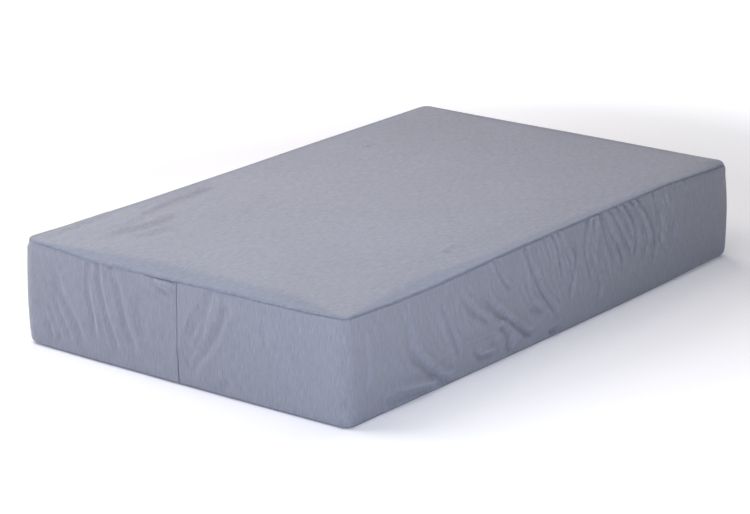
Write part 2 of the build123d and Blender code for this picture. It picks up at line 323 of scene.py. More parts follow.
# ---------------------------------------------------------------- the top seam's height round the cover
SEAM = (
    [("foot", x, z) for x, z in [(-0.550, 0.3115), (-0.439, 0.3075), (-0.335, 0.2975), (-0.131, 0.2978), (0.012, 0.3005),
                                 (0.182, 0.3035), (0.307, 0.3025), (0.515, 0.3055), (0.575, 0.3092)]]
    + [("right", y, z) for y, z in [(-0.905, 0.3072), (-0.727, 0.3005), (-0.552, 0.3010), (-0.323, 0.3072), (-0.036, 0.3112),
                                    (0.315, 0.3128), (0.593, 0.3128), (0.866, 0.3000)]]
    + [("head", x, z) for x, z in [(0.50, 0.2995), (0.15, 0.3000), (-0.25, 0.2990), (-0.50, 0.2995)]]
    + [("left", y, z) for y, z in [(0.85, 0.2995), (0.40, 0.3005), (0.0, 0.2992), (-0.45, 0.3005), (-0.80, 0.3060), (-0.90, 0.3095)]]
)


def face_s(face, a):
    if face == "foot":
        return a - JOINT_X if a >= JOINT_X else S_END + a - JOINT_X
    return {"right": S_RIGHT + CY + a, "head": S_HEAD + CX - a, "left": S_LEFT + CY - a}[face]


def periodic(knots, sigma):
    """A closed curve of the arc length through the knots (s, value), smoothed over sigma metres."""
    k = sorted(knots)
    ks = np.array([a for a, _ in k])
    kv = np.array([b for _, b in k])
    n = 2048
    grid = np.arange(n) * S_END / n
    v = np.interp(grid, np.r_[ks[-1] - S_END, ks, ks[0] + S_END], np.r_[kv[-1], kv, kv[0]])
    f = np.fft.rfft(v) * np.exp(-0.5 * (2 * math.pi * np.fft.rfftfreq(n, S_END / n) * sigma) ** 2)
    v = np.fft.irfft(f, n)
    return lambda s: np.interp(np.asarray(s) % S_END, np.r_[grid, S_END], np.r_[v, v[0]])


seam_z = periodic([(face_s(f, a), z) for f, a, z in SEAM], 0.022)


def around(sigma, foot, right, head, left, unit=MM):
    """A value round the cover, from knots on its four faces."""
    knots = [(face_s(f, a), v * unit) for f, ks in (("foot", foot), ("right", right), ("head", head), ("left", left)) for a, v in ks]
    return periodic(knots, sigma)


# how far the cloth stands off at mid-height, how far the whole face bows out, how far it leans in at the seam, how it turns under at the hem
puff = around(0.03, [(-0.56, 4.2), (-0.48, 2.6), (-0.40, 2.6), (-0.20, 2.6), (0.0, 1.6), (0.15, 2.6), (0.40, 2.2), (0.57, 2.0)],
              [(-0.90, 2.0), (-0.60, 4.2), (-0.20, 5.2), (0.10, 6.0), (0.45, 6.4), (0.70, 4.0), (0.84, 4.0), (0.90, 4.6)],
              [(0.53, 4.4), (0.35, 2.4), (0.0, 2.6), (-0.50, 2.4)], [(0.85, 1.6), (0.3, 2.6), (-0.3, 2.6), (-0.78, 2.0), (-0.89, 4.0)])
bow = around(0.06, [(-0.56, 0.0), (-0.30, 3.6), (0.0, 5.0), (0.30, 4.6), (0.56, 1.4)], [(-0.90, 0.0), (-0.5, 3.2), (0.0, 4.4), (0.4, 3.4), (0.90, 0.0)],
             [(0.5, 0.0), (-0.5, 0.0)], [(0.9, 0.0), (-0.9, 0.0)])
lean = around(0.04, [(-0.56, 8.0), (-0.35, 4.5), (0.0, 3.6), (0.35, 4.0), (0.56, 5.0)], [(-0.90, 5.0), (-0.50, 5.0), (0.0, 8.0), (0.5, 8.0), (0.88, 10.0)],
              [(0.5, 8.0), (0.0, 6.0), (-0.5, 8.0)], [(0.85, 8.0), (0.0, 5.5), (-0.88, 8.0)])
hem_turn = around(0.05, [(-0.56, 13), (-0.40, 8.5), (0.0, 8.2), (0.56, 8.2)], [(-0.90, 8.2), (-0.3, 8.2), (0.3, 9), (0.6, 13), (0.75, 20), (0.90, 25)],
                  [(0.5, 24), (0.0, 14), (-0.5, 18)], [(0.90, 23), (-0.90, 23)])
# how much it is gathered under the seam, and the roll of the top panel over the seam: its height and width
gather = around(0.03, [(-0.50, 0.15), (-0.34, 0.6), (-0.20, 0.6), (-0.10, 0.45), (0.02, 0.3), (0.15, 0.6), (0.30, 0.45), (0.50, 0.35)],
                [(-0.88, 0.35), (-0.70, 0.7), (-0.45, 0.6), (-0.20, 0.7), (0.10, 1.0), (0.45, 1.0), (0.60, 0.6), (0.85, 0.2)],
                [(0.40, 0.7), (0.1, 0.4), (-0.35, 0.9)], [(0.70, 0.4), (0.30, 1.0), (-0.10, 0.5), (-0.50, 0.9), (-0.85, 0.3)], 1.0)
roll_up = around(0.04, [(-0.56, 2.6), (-0.30, 4.6), (0.0, 4.8), (0.35, 4.4), (0.56, 3.0)], [(-0.85, 3.4), (-0.55, 3.6), (0.0, 3.0), (0.6, 2.8), (0.88, 3.0)],
                 [(0.4, 4.0), (-0.4, 4.0)], [(0.6, 4.2), (-0.6, 4.0)])
roll_wide = around(0.04, [(-0.56, 9), (0.0, 10), (0.56, 9)], [(-0.85, 9), (0.0, 9), (0.88, 12)], [(0.4, 20), (-0.4, 20)], [(0.6, 22), (-0.6, 20), (-0.88, 14)])
# how deep the seam lies between the two cloths, and how dark the painted shade in it is
crisp = around(0.05, [(-0.56, 0.15), (-0.30, 0.30), (0.0, 0.45), (0.30, 0.55), (0.50, 0.9)], [(-0.90, 1.0), (0.30, 0.9), (0.90, 0.7)],
               [(0.5, 0.8), (-0.5, 0.8)], [(0.9, 0.7), (-0.6, 0.7), (-0.9, 0.3)], 1.0)
# the slope between the sleeping surface and the roll: how far in it starts on each face
slope_foot = np.array([(-0.60, 14), (-0.50, 24), (-0.405, 46), (-0.24, 84), (-0.11, 103), (0.012, 106), (0.13, 96), (0.28, 95), (0.40, 90), (0.48, 52), (0.55, 20), (0.60, 12)])
slope_right = np.array([(-0.95, 12), (-0.88, 26), (-0.80, 60), (-0.70, 105), (-0.50, 160), (-0.30, 155), (-0.10, 165), (0.10, 155), (0.30, 135), (0.50, 92), (0.70, 78), (0.85, 50), (0.95, 20)])
slope_head = np.array([(-0.60, 24), (-0.40, 60), (0.0, 70), (0.40, 60), (0.60, 24)])
slope_left = np.array([(-0.95, 20), (-0.60, 50), (0.0, 60), (0.60, 55), (0.95, 24)])


# the cover's own rounding at its four upright corners: near, far right, far left and foot left
CORNERS = ((S_NEAR, 0.030), (S_FAR, 0.052), (S_BACK, 0.052), (S_FOOTL, 0.056))


def corner_round(s):
    """Offset that turns the outline's corner radius into each corner's own."""
    s = np.asarray(s, float) % S_END
    out = np.zeros(s.shape)
    for start, r in CORNERS:
        a = np.abs((s - start - ARC / 2 + S_END / 2) % S_END - S_END / 2)
        inside = a <= ARC / 2
        phi = np.minimum(a / R, math.pi / 4)
        d = R - r
        arc = math.sqrt(2) * d * np.cos(phi) + np.sqrt(r * r - 2 * (d * np.sin(phi)) ** 2) - R
        if d > 0:
            face = R / np.cos(math.pi / 4 - phi) - R
            arc = np.where(R * np.tan(math.pi / 4 - phi) <= d, face, arc)
        x = np.clip(-d - (a - ARC / 2), 0, max(-d, 0))
        out = out + np.where(inside, arc, -(r - np.sqrt(r * r - x * x)))
    return out


def sleeve_edge(z):
    """How far inside the cover's plan the sleeve under it reaches at height z."""
    z = np.asarray(z, float)
    r = 0.0213
    up = np.clip(z - (0.3043 - r), 0, r)
    low = np.clip((0.0017 + r) - z, 0, r)
    return -0.0035 - (r - np.sqrt(np.maximum(r * r - np.maximum(up, low) ** 2, 0)))


def soft_max(a, b, k):
    h = np.clip(0.5 + 0.5 * (a - b) / k, 0, 1)
    return b * (1 - h) + a * h + k * h * (1 - h)


def mirrored(strokes, seed, lo, hi, thin):
    """The same kind of folds for a face that no view shows closely: turned round, spread and varied."""
    rng = np.random.default_rng(seed)
    out = []
    for depth, width, points in strokes:
        if rng.random() < thin:
            continue
        shift, scale = rng.uniform(-45, 45), rng.uniform(0.85, 1.15)
        d = depth * rng.uniform(0.6, 1.0)
        new = [(min(max(-a * 1.0 + shift, lo), hi), 12 + (b - 12) * min(scale, 1.02)) for a, b in points]
        if max(a for a, _ in new) - min(a for a, _ in new) > 1 or max(b for _, b in new) - min(b for _, b in new) > 1:
            out.append((d, width * rng.uniform(0.9, 1.3), new))
    return out


def companions(strokes, seed):
    """Fainter folds beside the drawn ones, along the same lines."""
    rng = np.random.default_rng(seed)
    out = []
    for depth, width, points in strokes:
        for side in (-1, 1):
            if rng.random() < 0.35:
                continue
            d = side * rng.uniform(13, 24)
            cut = rng.uniform(0.55, 1.0)
            n = max(2, int(round(len(points) * cut)))
            drift = rng.uniform(-8, 8)
            new = [(a + d + drift * i / n, min(b + rng.uniform(-6, 6), 300)) for i, (a, b) in enumerate(points[:n])]
            out.append((depth * rng.uniform(0.25, 0.5), width * rng.uniform(0.9, 1.4), new))
    return out


def band_height(s, z, zs, left_calm):
    """Offset of the side band from the plan outline, in metres, outwards."""
    um, vm = s / MM, z / MM
    h = np.clip(z / zs, 0, 1)
    o = corner_round(s) + bow(s) * (1 - 0.35 * h) + puff(s) * (1 - ((h - 0.48) / 0.52) ** 2)
    o = o - lean(s) * (0.38 * step(0.45, 0.98, h) + 0.62 * step(0.80, 1.03, h))
    o = o - 0.0020 * step(0.16, 0.0, h)
    # broad slackness, then the drawn folds
    f = 1.1 * noise(um / 150, vm / 190, 11) + 0.55 * noise(um / 46, vm / 95, 12) * step(0, 0.25, h)
    foot_all = FOOT + companions(FOOT, 31)
    side_all = SIDE + companions(SIDE, 32)
    right = (s > S_RIGHT - 0.06) & (s < S_FAR + 0.06)
    foot = (s < S_NEAR + 0.05) | (s > S_FOOT - 0.05)
    head = (s > S_HEAD - 0.05) & (s < S_BACK + 0.05)
    left = (s > S_LEFT - 0.05) & (s < S_FOOTL + 0.05)
    x = np.where(s > S_END / 2, s - S_END, s) + JOINT_X
    for mask, u, strokes, gain, widen, turn in (
        (foot, x / MM, foot_all, 2.15, 1.8, -1.0),
        (right, (s - S_RIGHT - CY) / MM, side_all, 3.3, 1.3, 1.0),
        (head, (s - S_HEAD - CX) / MM, mirrored(FOOT, 5, -530, 530, 0.15), 2.2, 1.7, 1.0),
        (left, (s - S_LEFT - CY) / MM, mirrored(SIDE, 6, -830, 830, 0.25), 1.6, 1.4, 1.0),
    ):
        part = np.zeros(s.shape)
        part[mask] = fold_field(u[mask], vm[mask], [(math.copysign(1.1 * abs(d) ** 0.8, d), w, q) for d, w, q in strokes], 283, gain, widen, turn)
        f += part
    # slack between the drawn folds on the long faces: slanting waves that fade towards the hem and the calm ends
    for s0, flip, seed in ((S_RIGHT, 1, 51), (S_LEFT, -1, 52)):
        y = (s - s0 - CY) * flip
        zone = step(-0.30, 0.05, y) * step(0.74, 0.55, y) + 0.55 * step(-0.80, -0.55, y) * step(0.0, -0.25, y)
        zone = np.where((s > s0 - 0.05) & (s < s0 + 2 * CY + 0.05), zone, 0.0)
        ym = y / MM
        phase = (ym - 0.42 * (300 - vm) + 16 * noise(ym / 120, vm / 90, seed)) / 27.0 + 0.9 * noise(ym / 210, vm / 300, seed + 3)
        wave = np.sin(2 * math.pi * phase)
        wave = np.where(wave > 0, wave, 0.55 * wave)
        f += 2.7 * zone * wave * (0.35 + 0.65 * np.clip(0.5 + noise(ym / 70, vm / 120, seed + 5), 0, 1)) * step(0.20, 0.55, h) * step(1.01, 0.90, h)
        low = np.where((s > s0 - 0.05) & (s < s0 + 2 * CY + 0.05), step(-0.86, -0.70, y) * step(-0.05, -0.25, y), 0.0)
        f += 0.6 * low * np.sin(2 * math.pi * ((vm - 0.10 * ym) / 34.0 + 0.8 * noise(ym / 150, vm / 200, seed + 7))) * step(0.04, 0.12, h) * step(0.42, 0.25, h)
    # small gathers that run down from the top seam, and a few up from the hem
    slant = um + 10 * noise(um / 90, vm / 60, 21) + (vm - 300) * 0.10 * noise(um / 200, 0 * vm, 22)
    down = (zs - z) / MM
    ridges = noise(slant / 7.5, 0.3 + vm / 120, 23) + 0.6 * noise(slant / 4.0, 0.7 + vm / 90, 24)
    f += 0.62 * gather(s) * ridges * np.exp(-down / 48) * step(0, 7, down)
    f += 0.34 * gather(s) * noise(slant / 13, vm / 150, 25) * np.exp(-down / 140)
    f += 0.30 * noise(um / 9, vm / 45, 26) * step(0.30, 0.02, h) * (0.4 + 0.6 * np.abs(noise(um / 110, 0 * vm, 27)))
    f += 0.16 * noise(um / 5.5, vm / 60, 28)
    # the seam allowance pressed to one side of the foot joint
    xj = (s / MM) * np.ones_like(f)
    f += 0.45 * step(0.0, 1.5, xj) * step(15.5, 12.5, xj)
    o = o + f * MM
    return soft_max(o, sleeve_edge(z) + 0.0004, 0.0030) * (1 - left_calm) + left_calm * np.clip(o * 0.12, -0.0003, 0.0004)


def rounding(r, z):
    """How far a rounding of radius r at the bottom has drawn in at height z."""
    k = np.clip(r - z, 0, r)
    return r - np.sqrt(r * r - k * k)


def band_columns():
    """Arc lengths of the band's columns: close at the joint, even on the faces, on the exact ends of the zip opening."""
    ends = np.array([0, 0.35, 0.8, 1.4, 2.2, 3.3, 4.9, 7.0, 10, 13, 16]) * MM

    def even(a, b, d):
        n = max(2, int(round((b - a) / d)))
        return np.linspace(a, b, n, endpoint=False)

    zip_a, zip_b = S_LEFT + CY - ZIP_Y, S_LEFT + CY + ZIP_Y
    cols = np.r_[ends[:-1], even(ends[-1], S_NEAR, 3.7 * MM), even(S_NEAR, S_RIGHT, 4.3 * MM), even(S_RIGHT, S_FAR, 3.6 * MM),
                 even(S_FAR, S_HEAD, 5.0 * MM), even(S_HEAD, S_BACK, 7.6 * MM), even(S_BACK, S_LEFT, 6.0 * MM),
                 even(S_LEFT, zip_a, 5.0 * MM), even(zip_a, zip_b, 7.6 * MM), even(zip_b, S_FOOTL, 5.0 * MM),
                 even(S_FOOTL, S_FOOT, 4.3 * MM), even(S_FOOT, S_END - ends[-1], 3.7 * MM), S_END - ends[::-1]]
    return cols


def build_band():
    cols = band_columns()
    low = np.array([8, 9.5, 11.5, 14, 17, 20, 23.5, 27, 30.5, 34, 37.5, 41, 44.5, 48]) * MM
    top_gap = np.array([0.0, 0.6, 1.3, 2.2, 3.5, 5.5, 8.0, 11.0, 14.5]) * MM
    n_mid = 55
    zs = seam_z(cols)
    rows = [np.full(len(cols), z) for z in low]
    for i in range(1, n_mid + 1):
        rows.append(low[-1] + (zs - top_gap[-1] - low[-1]) * i / n_mid)
    rows += [zs - g for g in top_gap[-2::-1]]
    Z = np.array(rows)
    S = np.broadcast_to(cols, Z.shape)
    ZS = np.broadcast_to(zs, Z.shape)
    y = S_LEFT + CY - S
    on_left = (S > S_LEFT - 0.02) & (S < S_FOOTL + 0.02)
    calm = np.where(on_left, step(0.100, 0.052, Z) * step(ZIP_Y + 0.075, ZIP_Y + 0.028, np.abs(y)), 0.0)
    o = band_height(S, Z, ZS, calm)
    # under-turn towards the hem
    o = o - rounding(hem_turn(S), Z)
    # the cloth turns in at the top seam, at the hem and at the joint, as far as the sleeve lets it
    gap = (ZS - Z) / MM
    o = o - (0.35 * np.exp(-gap / 5.0) + 5.8 * np.exp(-gap / 1.0)) * MM * crisp(S)
    # painted shade in the depth of the top seam, kept as the band's edge value
    shade = 0.85 * crisp(S) * np.exp(-gap / 1.3)
    gap = (Z - HEM_Z) / MM
    o = o - 0.9 * np.exp(-gap / 0.8) * MM
    flat = np.maximum(o, sleeve_edge(Z) + 0.0004)
    d = np.minimum(S, S_END - S) / MM
    o = o - (0.4 * np.exp(-d / 4.0) + 4.0 * np.exp(-d / 0.85)) * MM
    # painted shade along the foot joint as well
    shade = np.clip(np.maximum(shade, 1.15 * np.exp(-d / 1.1)), 0, 1)
    o = np.maximum(o, sleeve_edge(Z) + 0.0004)
    p, n = plan(S.ravel())
    p, n = p.reshape(S.shape + (2,)), n.reshape(S.shape + (2,))
    P = np.concatenate([p + n * o[..., None], Z[..., None]], -1)
    cloth = np.stack([S, Z, np.zeros_like(S)], -1)
    # faces: none in the zip's opening and none below it, where the strip of cloth is a piece of its own
    mid_y = np.abs(y[:-1, :-1] + y[1:, 1:]) / 2
    mid_z = (Z[:-1, :-1] + Z[1:, 1:]) / 2
    open_ = on_left[:-1, :-1] & (mid_y < ZIP_Y) & (mid_z < ZIP_HIGH)
    quads = grid_quads(*Z.shape, keep=~open_)
    verts, quads, cl, shade_v = compact(P.reshape(-1, 3), quads, cloth.reshape(-1, 3), shade.ravel())
    # lips of the opening, turned in: one strip along the upper edge
    j = np.where((np.abs(S_LEFT + CY - cols) <= ZIP_Y + 1e-6) & (cols > S_LEFT - 0.01) & (cols < S_FOOTL + 0.01))[0]
    i = int(np.argmin(np.abs(low - ZIP_HIGH)))
    edge, ncol = P[i, j], len(j)
    nrm = n[i, j]
    rings = [edge]
    for inward, down in ((0.35, 0.42), (0.95, 0.55), (1.45, 0.25), (1.50, -0.6), (1.50, -3.0)):
        q = edge.copy()
        q[:, :2] -= nrm * inward * MM
        q[:, 2] -= down * MM
        rings.append(q)
    lip = np.array(rings)
    base = len(verts)
    lq = grid_quads(len(rings), ncol, flip=True) + base
    lc = np.concatenate([cloth[i, j]] * len(rings))
    verts = np.vstack([verts, lip.reshape(-1, 3)])
    cl = np.vstack([cl, lc])
    quads = np.vstack([quads, lq])
    # the edge value carries painted shade in the top seam and along the foot joint; the lips of the opening are
    # darkened a little
    band = make_mesh("side_band", verts, quads, {"cloth": cl, "edge": np.r_[shade_v, np.full(len(lc), 0.2)]})
    # the tapes stitched behind the two long seams and behind the joint follow the cloth from inside
    rows_n = len(Z)
    tapes = []
    for name, rr in (("top_seam_tape", list(range(rows_n - 9, rows_n - 3))), ("bottom_seam_tape", [1, 2, 3, 4, 5])):
        inner = np.maximum(o[rr] - 0.00045, sleeve_edge(Z[rr]) + 0.00015)
        q = np.concatenate([p[rr] + n[rr] * inner[..., None], Z[rr][..., None]], -1)
        tapes.append(make_mesh(name, q.reshape(-1, 3), grid_quads(*Z[rr].shape), {"cloth": cloth[rr].reshape(-1, 3)}))
    width = np.array([-5.0, -2.5, 0.0, 2.5, 5.0, 7.5, 10.0, 12.5, 15.0]) * MM
    zz = np.linspace(0.026, 0.280, 60)
    base_o = np.array([np.interp(z, Z[:, 12], flat[:, 12]) for z in zz])
    inner = np.maximum(base_o - 0.0046, sleeve_edge(zz) + 0.00015)
    X, ZZ = np.meshgrid(JOINT_X + width, zz)
    q = np.stack([X, -HY - np.broadcast_to(inner[:, None], X.shape), ZZ], -1)
    tapes.append(make_mesh("foot_joint_tape", q.reshape(-1, 3), grid_quads(*X.shape), {"cloth": q.reshape(-1, 3)}))
    return [band] + tapes


def top_grid_lines(half):
    e = np.array([0, 0.9, 2.0, 3.4, 5.2, 7.4, 10.0, 13.2, 17.0, 21.5, 27, 33, 39, 44.5, R / MM]) * MM
    n = int(round(2 * (half - R) / 0.0056))
    return np.r_[-half + e[:-1], np.linspace(-half + R, half - R, n, endpoint=False), half - e[::-1]]


def coons(x, y):
    """Smooth surface through the seam's height on all four edges."""
    u, v = (x + HX) / (2 * HX), (y + HY) / (2 * HY)
    u, v = np.clip(u, 0, 1), np.clip(v, 0, 1)
    X, Y = np.clip(x, -CX, CX), np.clip(y, -CY, CY)
    f = seam_z(np.where(X >= JOINT_X, X - JOINT_X, S_END + X - JOINT_X))
    b = seam_z(S_HEAD + CX - X)
    lf = seam_z(S_LEFT + CY - Y)
    rt = seam_z(S_RIGHT + CY + Y)
    c00, c10 = seam_z(S_FOOTL + ARC / 2), seam_z(S_NEAR + ARC / 2)
    c01, c11 = seam_z(S_BACK + ARC / 2), seam_z(S_FAR + ARC / 2)
    return (1 - v) * f + v * b + (1 - u) * lf + u * rt - ((1 - u) * (1 - v) * c00 + u * (1 - v) * c10 + (1 - u) * v * c01 + u * v * c11)


def knee(t, k=7.0):
    """Rises evenly from 0, and turns level near t = 1."""
    a = np.log1p(np.exp(np.clip(k * (1 - t), -60, 60))) / k
    a0 = math.log1p(math.exp(k)) / k
    return 1 - a / a0


def top_height(x, y, s, e):
    xm, ym = x / MM, y / MM
    up, wide = roll_up(s), roll_wide(s)
    wf = np.interp(x, slope_foot[:, 0], slope_foot[:, 1]) * MM
    wh = np.interp(x, slope_head[:, 0], slope_head[:, 1]) * MM
    wr = np.interp(y, slope_right[:, 0], slope_right[:, 1]) * MM
    wl = np.interp(y, slope_left[:, 0], slope_left[:, 1]) * MM
    rise = knee((y + HY) / wf) * knee((HY - y) / wh, 4.0) * knee((HX - x) / wr, 5.0) * knee((x + HX) / wl, 4.0)
    rise = rise * (1 - np.exp(-e / 0.006))
    far = PLATEAU + 0.0040 * step(0.10, 0.46, x) * step(-0.75, -0.25, y) * step(0.95, 0.45, y)
    far = far - 0.0050 * step(0.30, 0.95, y) - 0.0030 * step(0.0, -0.58, x)
    far = far - 0.0045 * np.exp(-(((x - 0.60) ** 2 + (y + 0.95) ** 2) / 0.17**2)) - 0.0045 * np.exp(-(((x + 0.60) ** 2 + (y + 0.95) ** 2) / 0.17**2))
    far = far + (0.9 * noise(xm / 260, ym / 260, 41) + 0.5 * noise(xm / 110, ym / 140, 42)) * MM
    zs = seam_z(s) * np.exp(-e / 0.020) + coons(x, y) * (1 - np.exp(-e / 0.020))
    t = np.clip(e / wide, 0, 1)
    q = (1 - (1 - t) ** 2.3) ** (1 / 2.3)
    z = (zs + up * q) * (1 - rise) + far * rise
    # tone is painted shade: 1 near the edges, on the slope between the sleeping surface and the seam, and 0 on the
    # sleeping surface; the knit's edge colour makes it darker and bluer there
    tone = 1 - knee((y + HY) / wf, 9.0) * knee((HX - x) / ((0.28 + 0.35 * step(-0.25, -0.65, y)) * wr), 7.0) * knee((HY - y) / wh, 5.0) * knee((x + HX) / wl, 5.0)
    tone = step(0.06, 0.50, tone)
    fade = step(0.004, 0.030, e)
    f = fold_field(xm, ym, [k for k in TOP if k[0] > 0], None, 1.65 * TOP_GAIN, 1.15, 1.0, (2.3, 0.72)) * fade
    f += fold_field(xm, ym, [k for k in TOP if k[0] < 0], None, 0.85 * TOP_GAIN, 1.5) * fade
    f += (0.16 * noise(xm / 34, ym / 60, 43) + 0.10 * noise(xm / 15, ym / 22, 44)) * fade
    f += 0.50 * noise(xm / 20, ym / 75, 45) * step(-250, -480, xm) * step(700, -300, ym) * fade
    # ridges where the panel is already at its highest stay low
    z = z + f * MM
    return HIGHEST - 0.0005 * np.logaddexp(0.0, (HIGHEST - z) / 0.0005), tone


TOP_GAIN = 1.1
HIGHEST = 0.3238


def seam_offset(s):
    """Offset of the side band's upper edge from the plan outline, before it turns in to the seam."""
    return corner_round(s) + bow(s) * 0.65 - 0.0003 - lean(s) * 0.97


def drawn_in(X, Y, s, e, offset):
    """Moves a flat panel's edge to the given offset from the plan outline, and the cloth inside the edge along with it."""
    _, n = plan(s.ravel())
    n = n.reshape(s.shape + (2,))
    xc, yc = np.clip(X, -CX, CX), np.clip(Y, -CY, CY)
    f = offset(np.where(xc >= JOINT_X, xc - JOINT_X, S_END + xc - JOINT_X))
    b = offset(S_HEAD + CX - xc)
    lf = offset(S_LEFT + CY - yc)
    rt = offset(S_RIGHT + CY + yc)
    dx = rt * np.exp(-(HX - X) / 0.04) - lf * np.exp(-(HX + X) / 0.04)
    dy = b * np.exp(-(HY - Y) / 0.04) - f * np.exp(-(HY + Y) / 0.04)
    w = np.exp(-e / 0.010)
    o = offset(s)
    return X + (1 - w) * dx + w * n[..., 0] * o, Y + (1 - w) * dy + w * n[..., 1] * o


def build_top():
    gx, gy = top_grid_lines(HX), top_grid_lines(HY)
    X, Y = np.meshgrid(gx, gy)
    # square corners are drawn in to round ones
    p, q = np.abs(X) - CX, np.abs(Y) - CY
    m = (p > 0) & (q > 0)
    k = np.where(m, np.maximum(p, q) / np.maximum(np.hypot(p, q), 1e-12), 1.0)
    X = np.where(m, np.sign(X) * (CX + p * k), X)
    Y = np.where(m, np.sign(Y) * (CY + q * k), Y)
    s, e = s_of(X, Y)
    Z, tone = top_height(X, Y, s, e)
    X, Y = drawn_in(X, Y, s, e, seam_offset)
    # the first few millimetres bulge over the seam instead of starting at a sharp edge
    Z = Z + 0.0016
    P = np.stack([X, Y, Z], -1)
    verts = P.reshape(-1, 3)
    quads = grid_quads(*X.shape)
    cloth = np.stack([X, Y, np.ones_like(X)], -1).reshape(-1, 3)
    tone = tone.ravel()
    # boundary loop, counter-clockwise from above, then rings turned down into the seam
    idx = np.arange(X.size).reshape(X.shape)
    loop = np.r_[idx[0, :-1], idx[:-1, -1], idx[-1, :0:-1], idx[:0:-1, 0]]
    edge = verts[loop]
    sl = s.ravel()[loop]
    _, nl = plan(sl)
    zl = seam_z(sl)
    rings = []
    for out, lift in ((0.85, 0.95), (0.80, 0.30), (0.0, -0.40), (-1.5, -0.80), (-4.2, -0.90), (-8.5, -0.95)):
        ring = edge.copy()
        ring[:, :2] += nl * out * MM
        ring[:, 2] = zl + lift * MM
        rings.append(ring)
    n = len(loop)
    quads = [quads]
    prev = loop
    base = len(verts)
    cl = [cloth]
    for ring in rings:
        cur = np.arange(n) + base
        quads.append(np.stack([prev, cur, np.roll(cur, -1), np.roll(prev, -1)], -1))
        verts = np.vstack([verts, ring])
        cl.append(cloth[loop])
        prev = cur
        base += n
    # painted shade on the edge value: the panel's slope gets up to 0.7, and the rings turned down into the seam get 0.7
    # to 1.0, darker where the seam lies deeper
    deep = crisp(sl)
    tone = np.r_[0.7 * tone, 0.7 * tone[loop], 0.7 * tone[loop], *[np.maximum(0.7 * tone[loop], 0.7 + 0.3 * deep)] * (len(rings) - 2)]
    return make_mesh("top_panel", verts, np.vstack(quads), {"cloth": np.vstack(cl), "edge": tone})


UNDER_Z = 0.0035


def under_offset(s):
    return corner_round(s) + bow(s) - 0.0026 - rounding(hem_turn(s), UNDER_Z)


def build_underside():
    d = np.array([0, 0.8, 2.0, 3.6, 5.6, 8.0, 11, 14.5, 18.5, 23, 28, 34, 40, 45]) * MM
    gx = np.r_[-HX + d, np.linspace(-CX, CX, 110), HX - d[::-1]]
    gy = np.r_[-HY + d, np.linspace(-CY, CY, 176), HY - d[::-1]]
    X, Y = np.meshgrid(gx, gy)
    p, q = np.abs(X) - CX, np.abs(Y) - CY
    m = (p > 0) & (q > 0)
    k = np.where(m, np.maximum(p, q) / np.maximum(np.hypot(p, q), 1e-12), 1.0)
    X, Y = np.where(m, np.sign(X) * (CX + p * k), X), np.where(m, np.sign(Y) * (CY + q * k), Y)
    s, e = s_of(X, Y)
    e = np.maximum(e, 0)
    rb = hem_turn(s) * np.exp(-e / 0.2) + 0.010 * (1 - np.exp(-e / 0.2))
    Z = rounding(rb, np.minimum(e + rounding(rb, UNDER_Z), rb))
    xm, ym = X / MM, Y / MM
    flat = step(0.022, 0.05, e)
    Z = Z + flat * np.clip(0.35 * noise(xm / 60, ym / 90, 61) + 0.2 * noise(xm / 21, ym / 25, 62), 0, 1) * MM
    cloth = np.stack([X, Y, np.full(X.shape, 2.0)], -1).reshape(-1, 3)
    X, Y = drawn_in(X, Y, s, e, under_offset)
    verts = np.stack([X, Y, Z], -1).reshape(-1, 3)
    quads = grid_quads(*X.shape, flip=True)
    idx = np.arange(X.size).reshape(X.shape)
    loop = np.r_[idx[0, :-1], idx[:-1, -1], idx[-1, :0:-1], idx[:0:-1, 0]]
    sl = s.ravel()[loop]
    pl, nl = plan(sl)
    rings, all_q, cl, prev, base, n = [], [quads], [cloth], loop, len(verts), len(loop)
    for zz, inward in ((0.0054, 0.0), (0.0070, 0.4), (0.0077, 1.0), (0.0080, 2.2), (0.0081, 4.8)):
        off = corner_round(sl) + bow(sl) - 0.0024 - rounding(hem_turn(sl), zz) - inward * MM
        ring = np.c_[pl + nl * off[:, None], np.full(n, zz)]
        cur = np.arange(n) + base
        all_q.append(np.stack([cur, prev, np.roll(prev, -1), np.roll(cur, -1)], -1))
        verts = np.vstack([verts, ring])
        cl.append(cloth[loop])
        prev, base = cur, base + n
    return make_mesh("underside_panel", verts, np.vstack(all_q), {"cloth": np.vstack(cl)})


def build_zip_strip():
    y = np.linspace(ZIP_Y, -ZIP_Y, 260)
    z = np.array([8.0, 8.6, 9.6, 11.5, 14, 17, 20, 23.5, 27.0]) * MM
    Y, Z = np.meshgrid(y, z)
    o = -rounding(hem_turn(S_LEFT + CY - Y), Z) - 0.0022 * np.exp(-(Z - 0.008) / 0.0008)
    o = o + 0.12 * MM * noise(Y / MM / 24, Z / MM / 20, 71)
    rows = [np.stack([-(HX + o), Y, Z], -1)]
    top = rows[0][-1]
    for inward, rise in ((0.35, 0.42), (0.95, 0.55), (1.45, 0.25), (1.50, -0.6), (1.50, -3.0)):
        ring = top.copy()
        ring[:, 0] += inward * MM
        ring[:, 2] += rise * MM
        rows.append(ring[None])
    P = np.concatenate([r if r.ndim == 3 else r[None] for r in rows], 0)
    cloth = np.stack([S_LEFT + CY - P[..., 1], P[..., 2], np.zeros(P.shape[:2])], -1)
    return make_mesh("zip_lower_strip", P.reshape(-1, 3), grid_quads(*P.shape[:2]), {"cloth": cloth.reshape(-1, 3)})


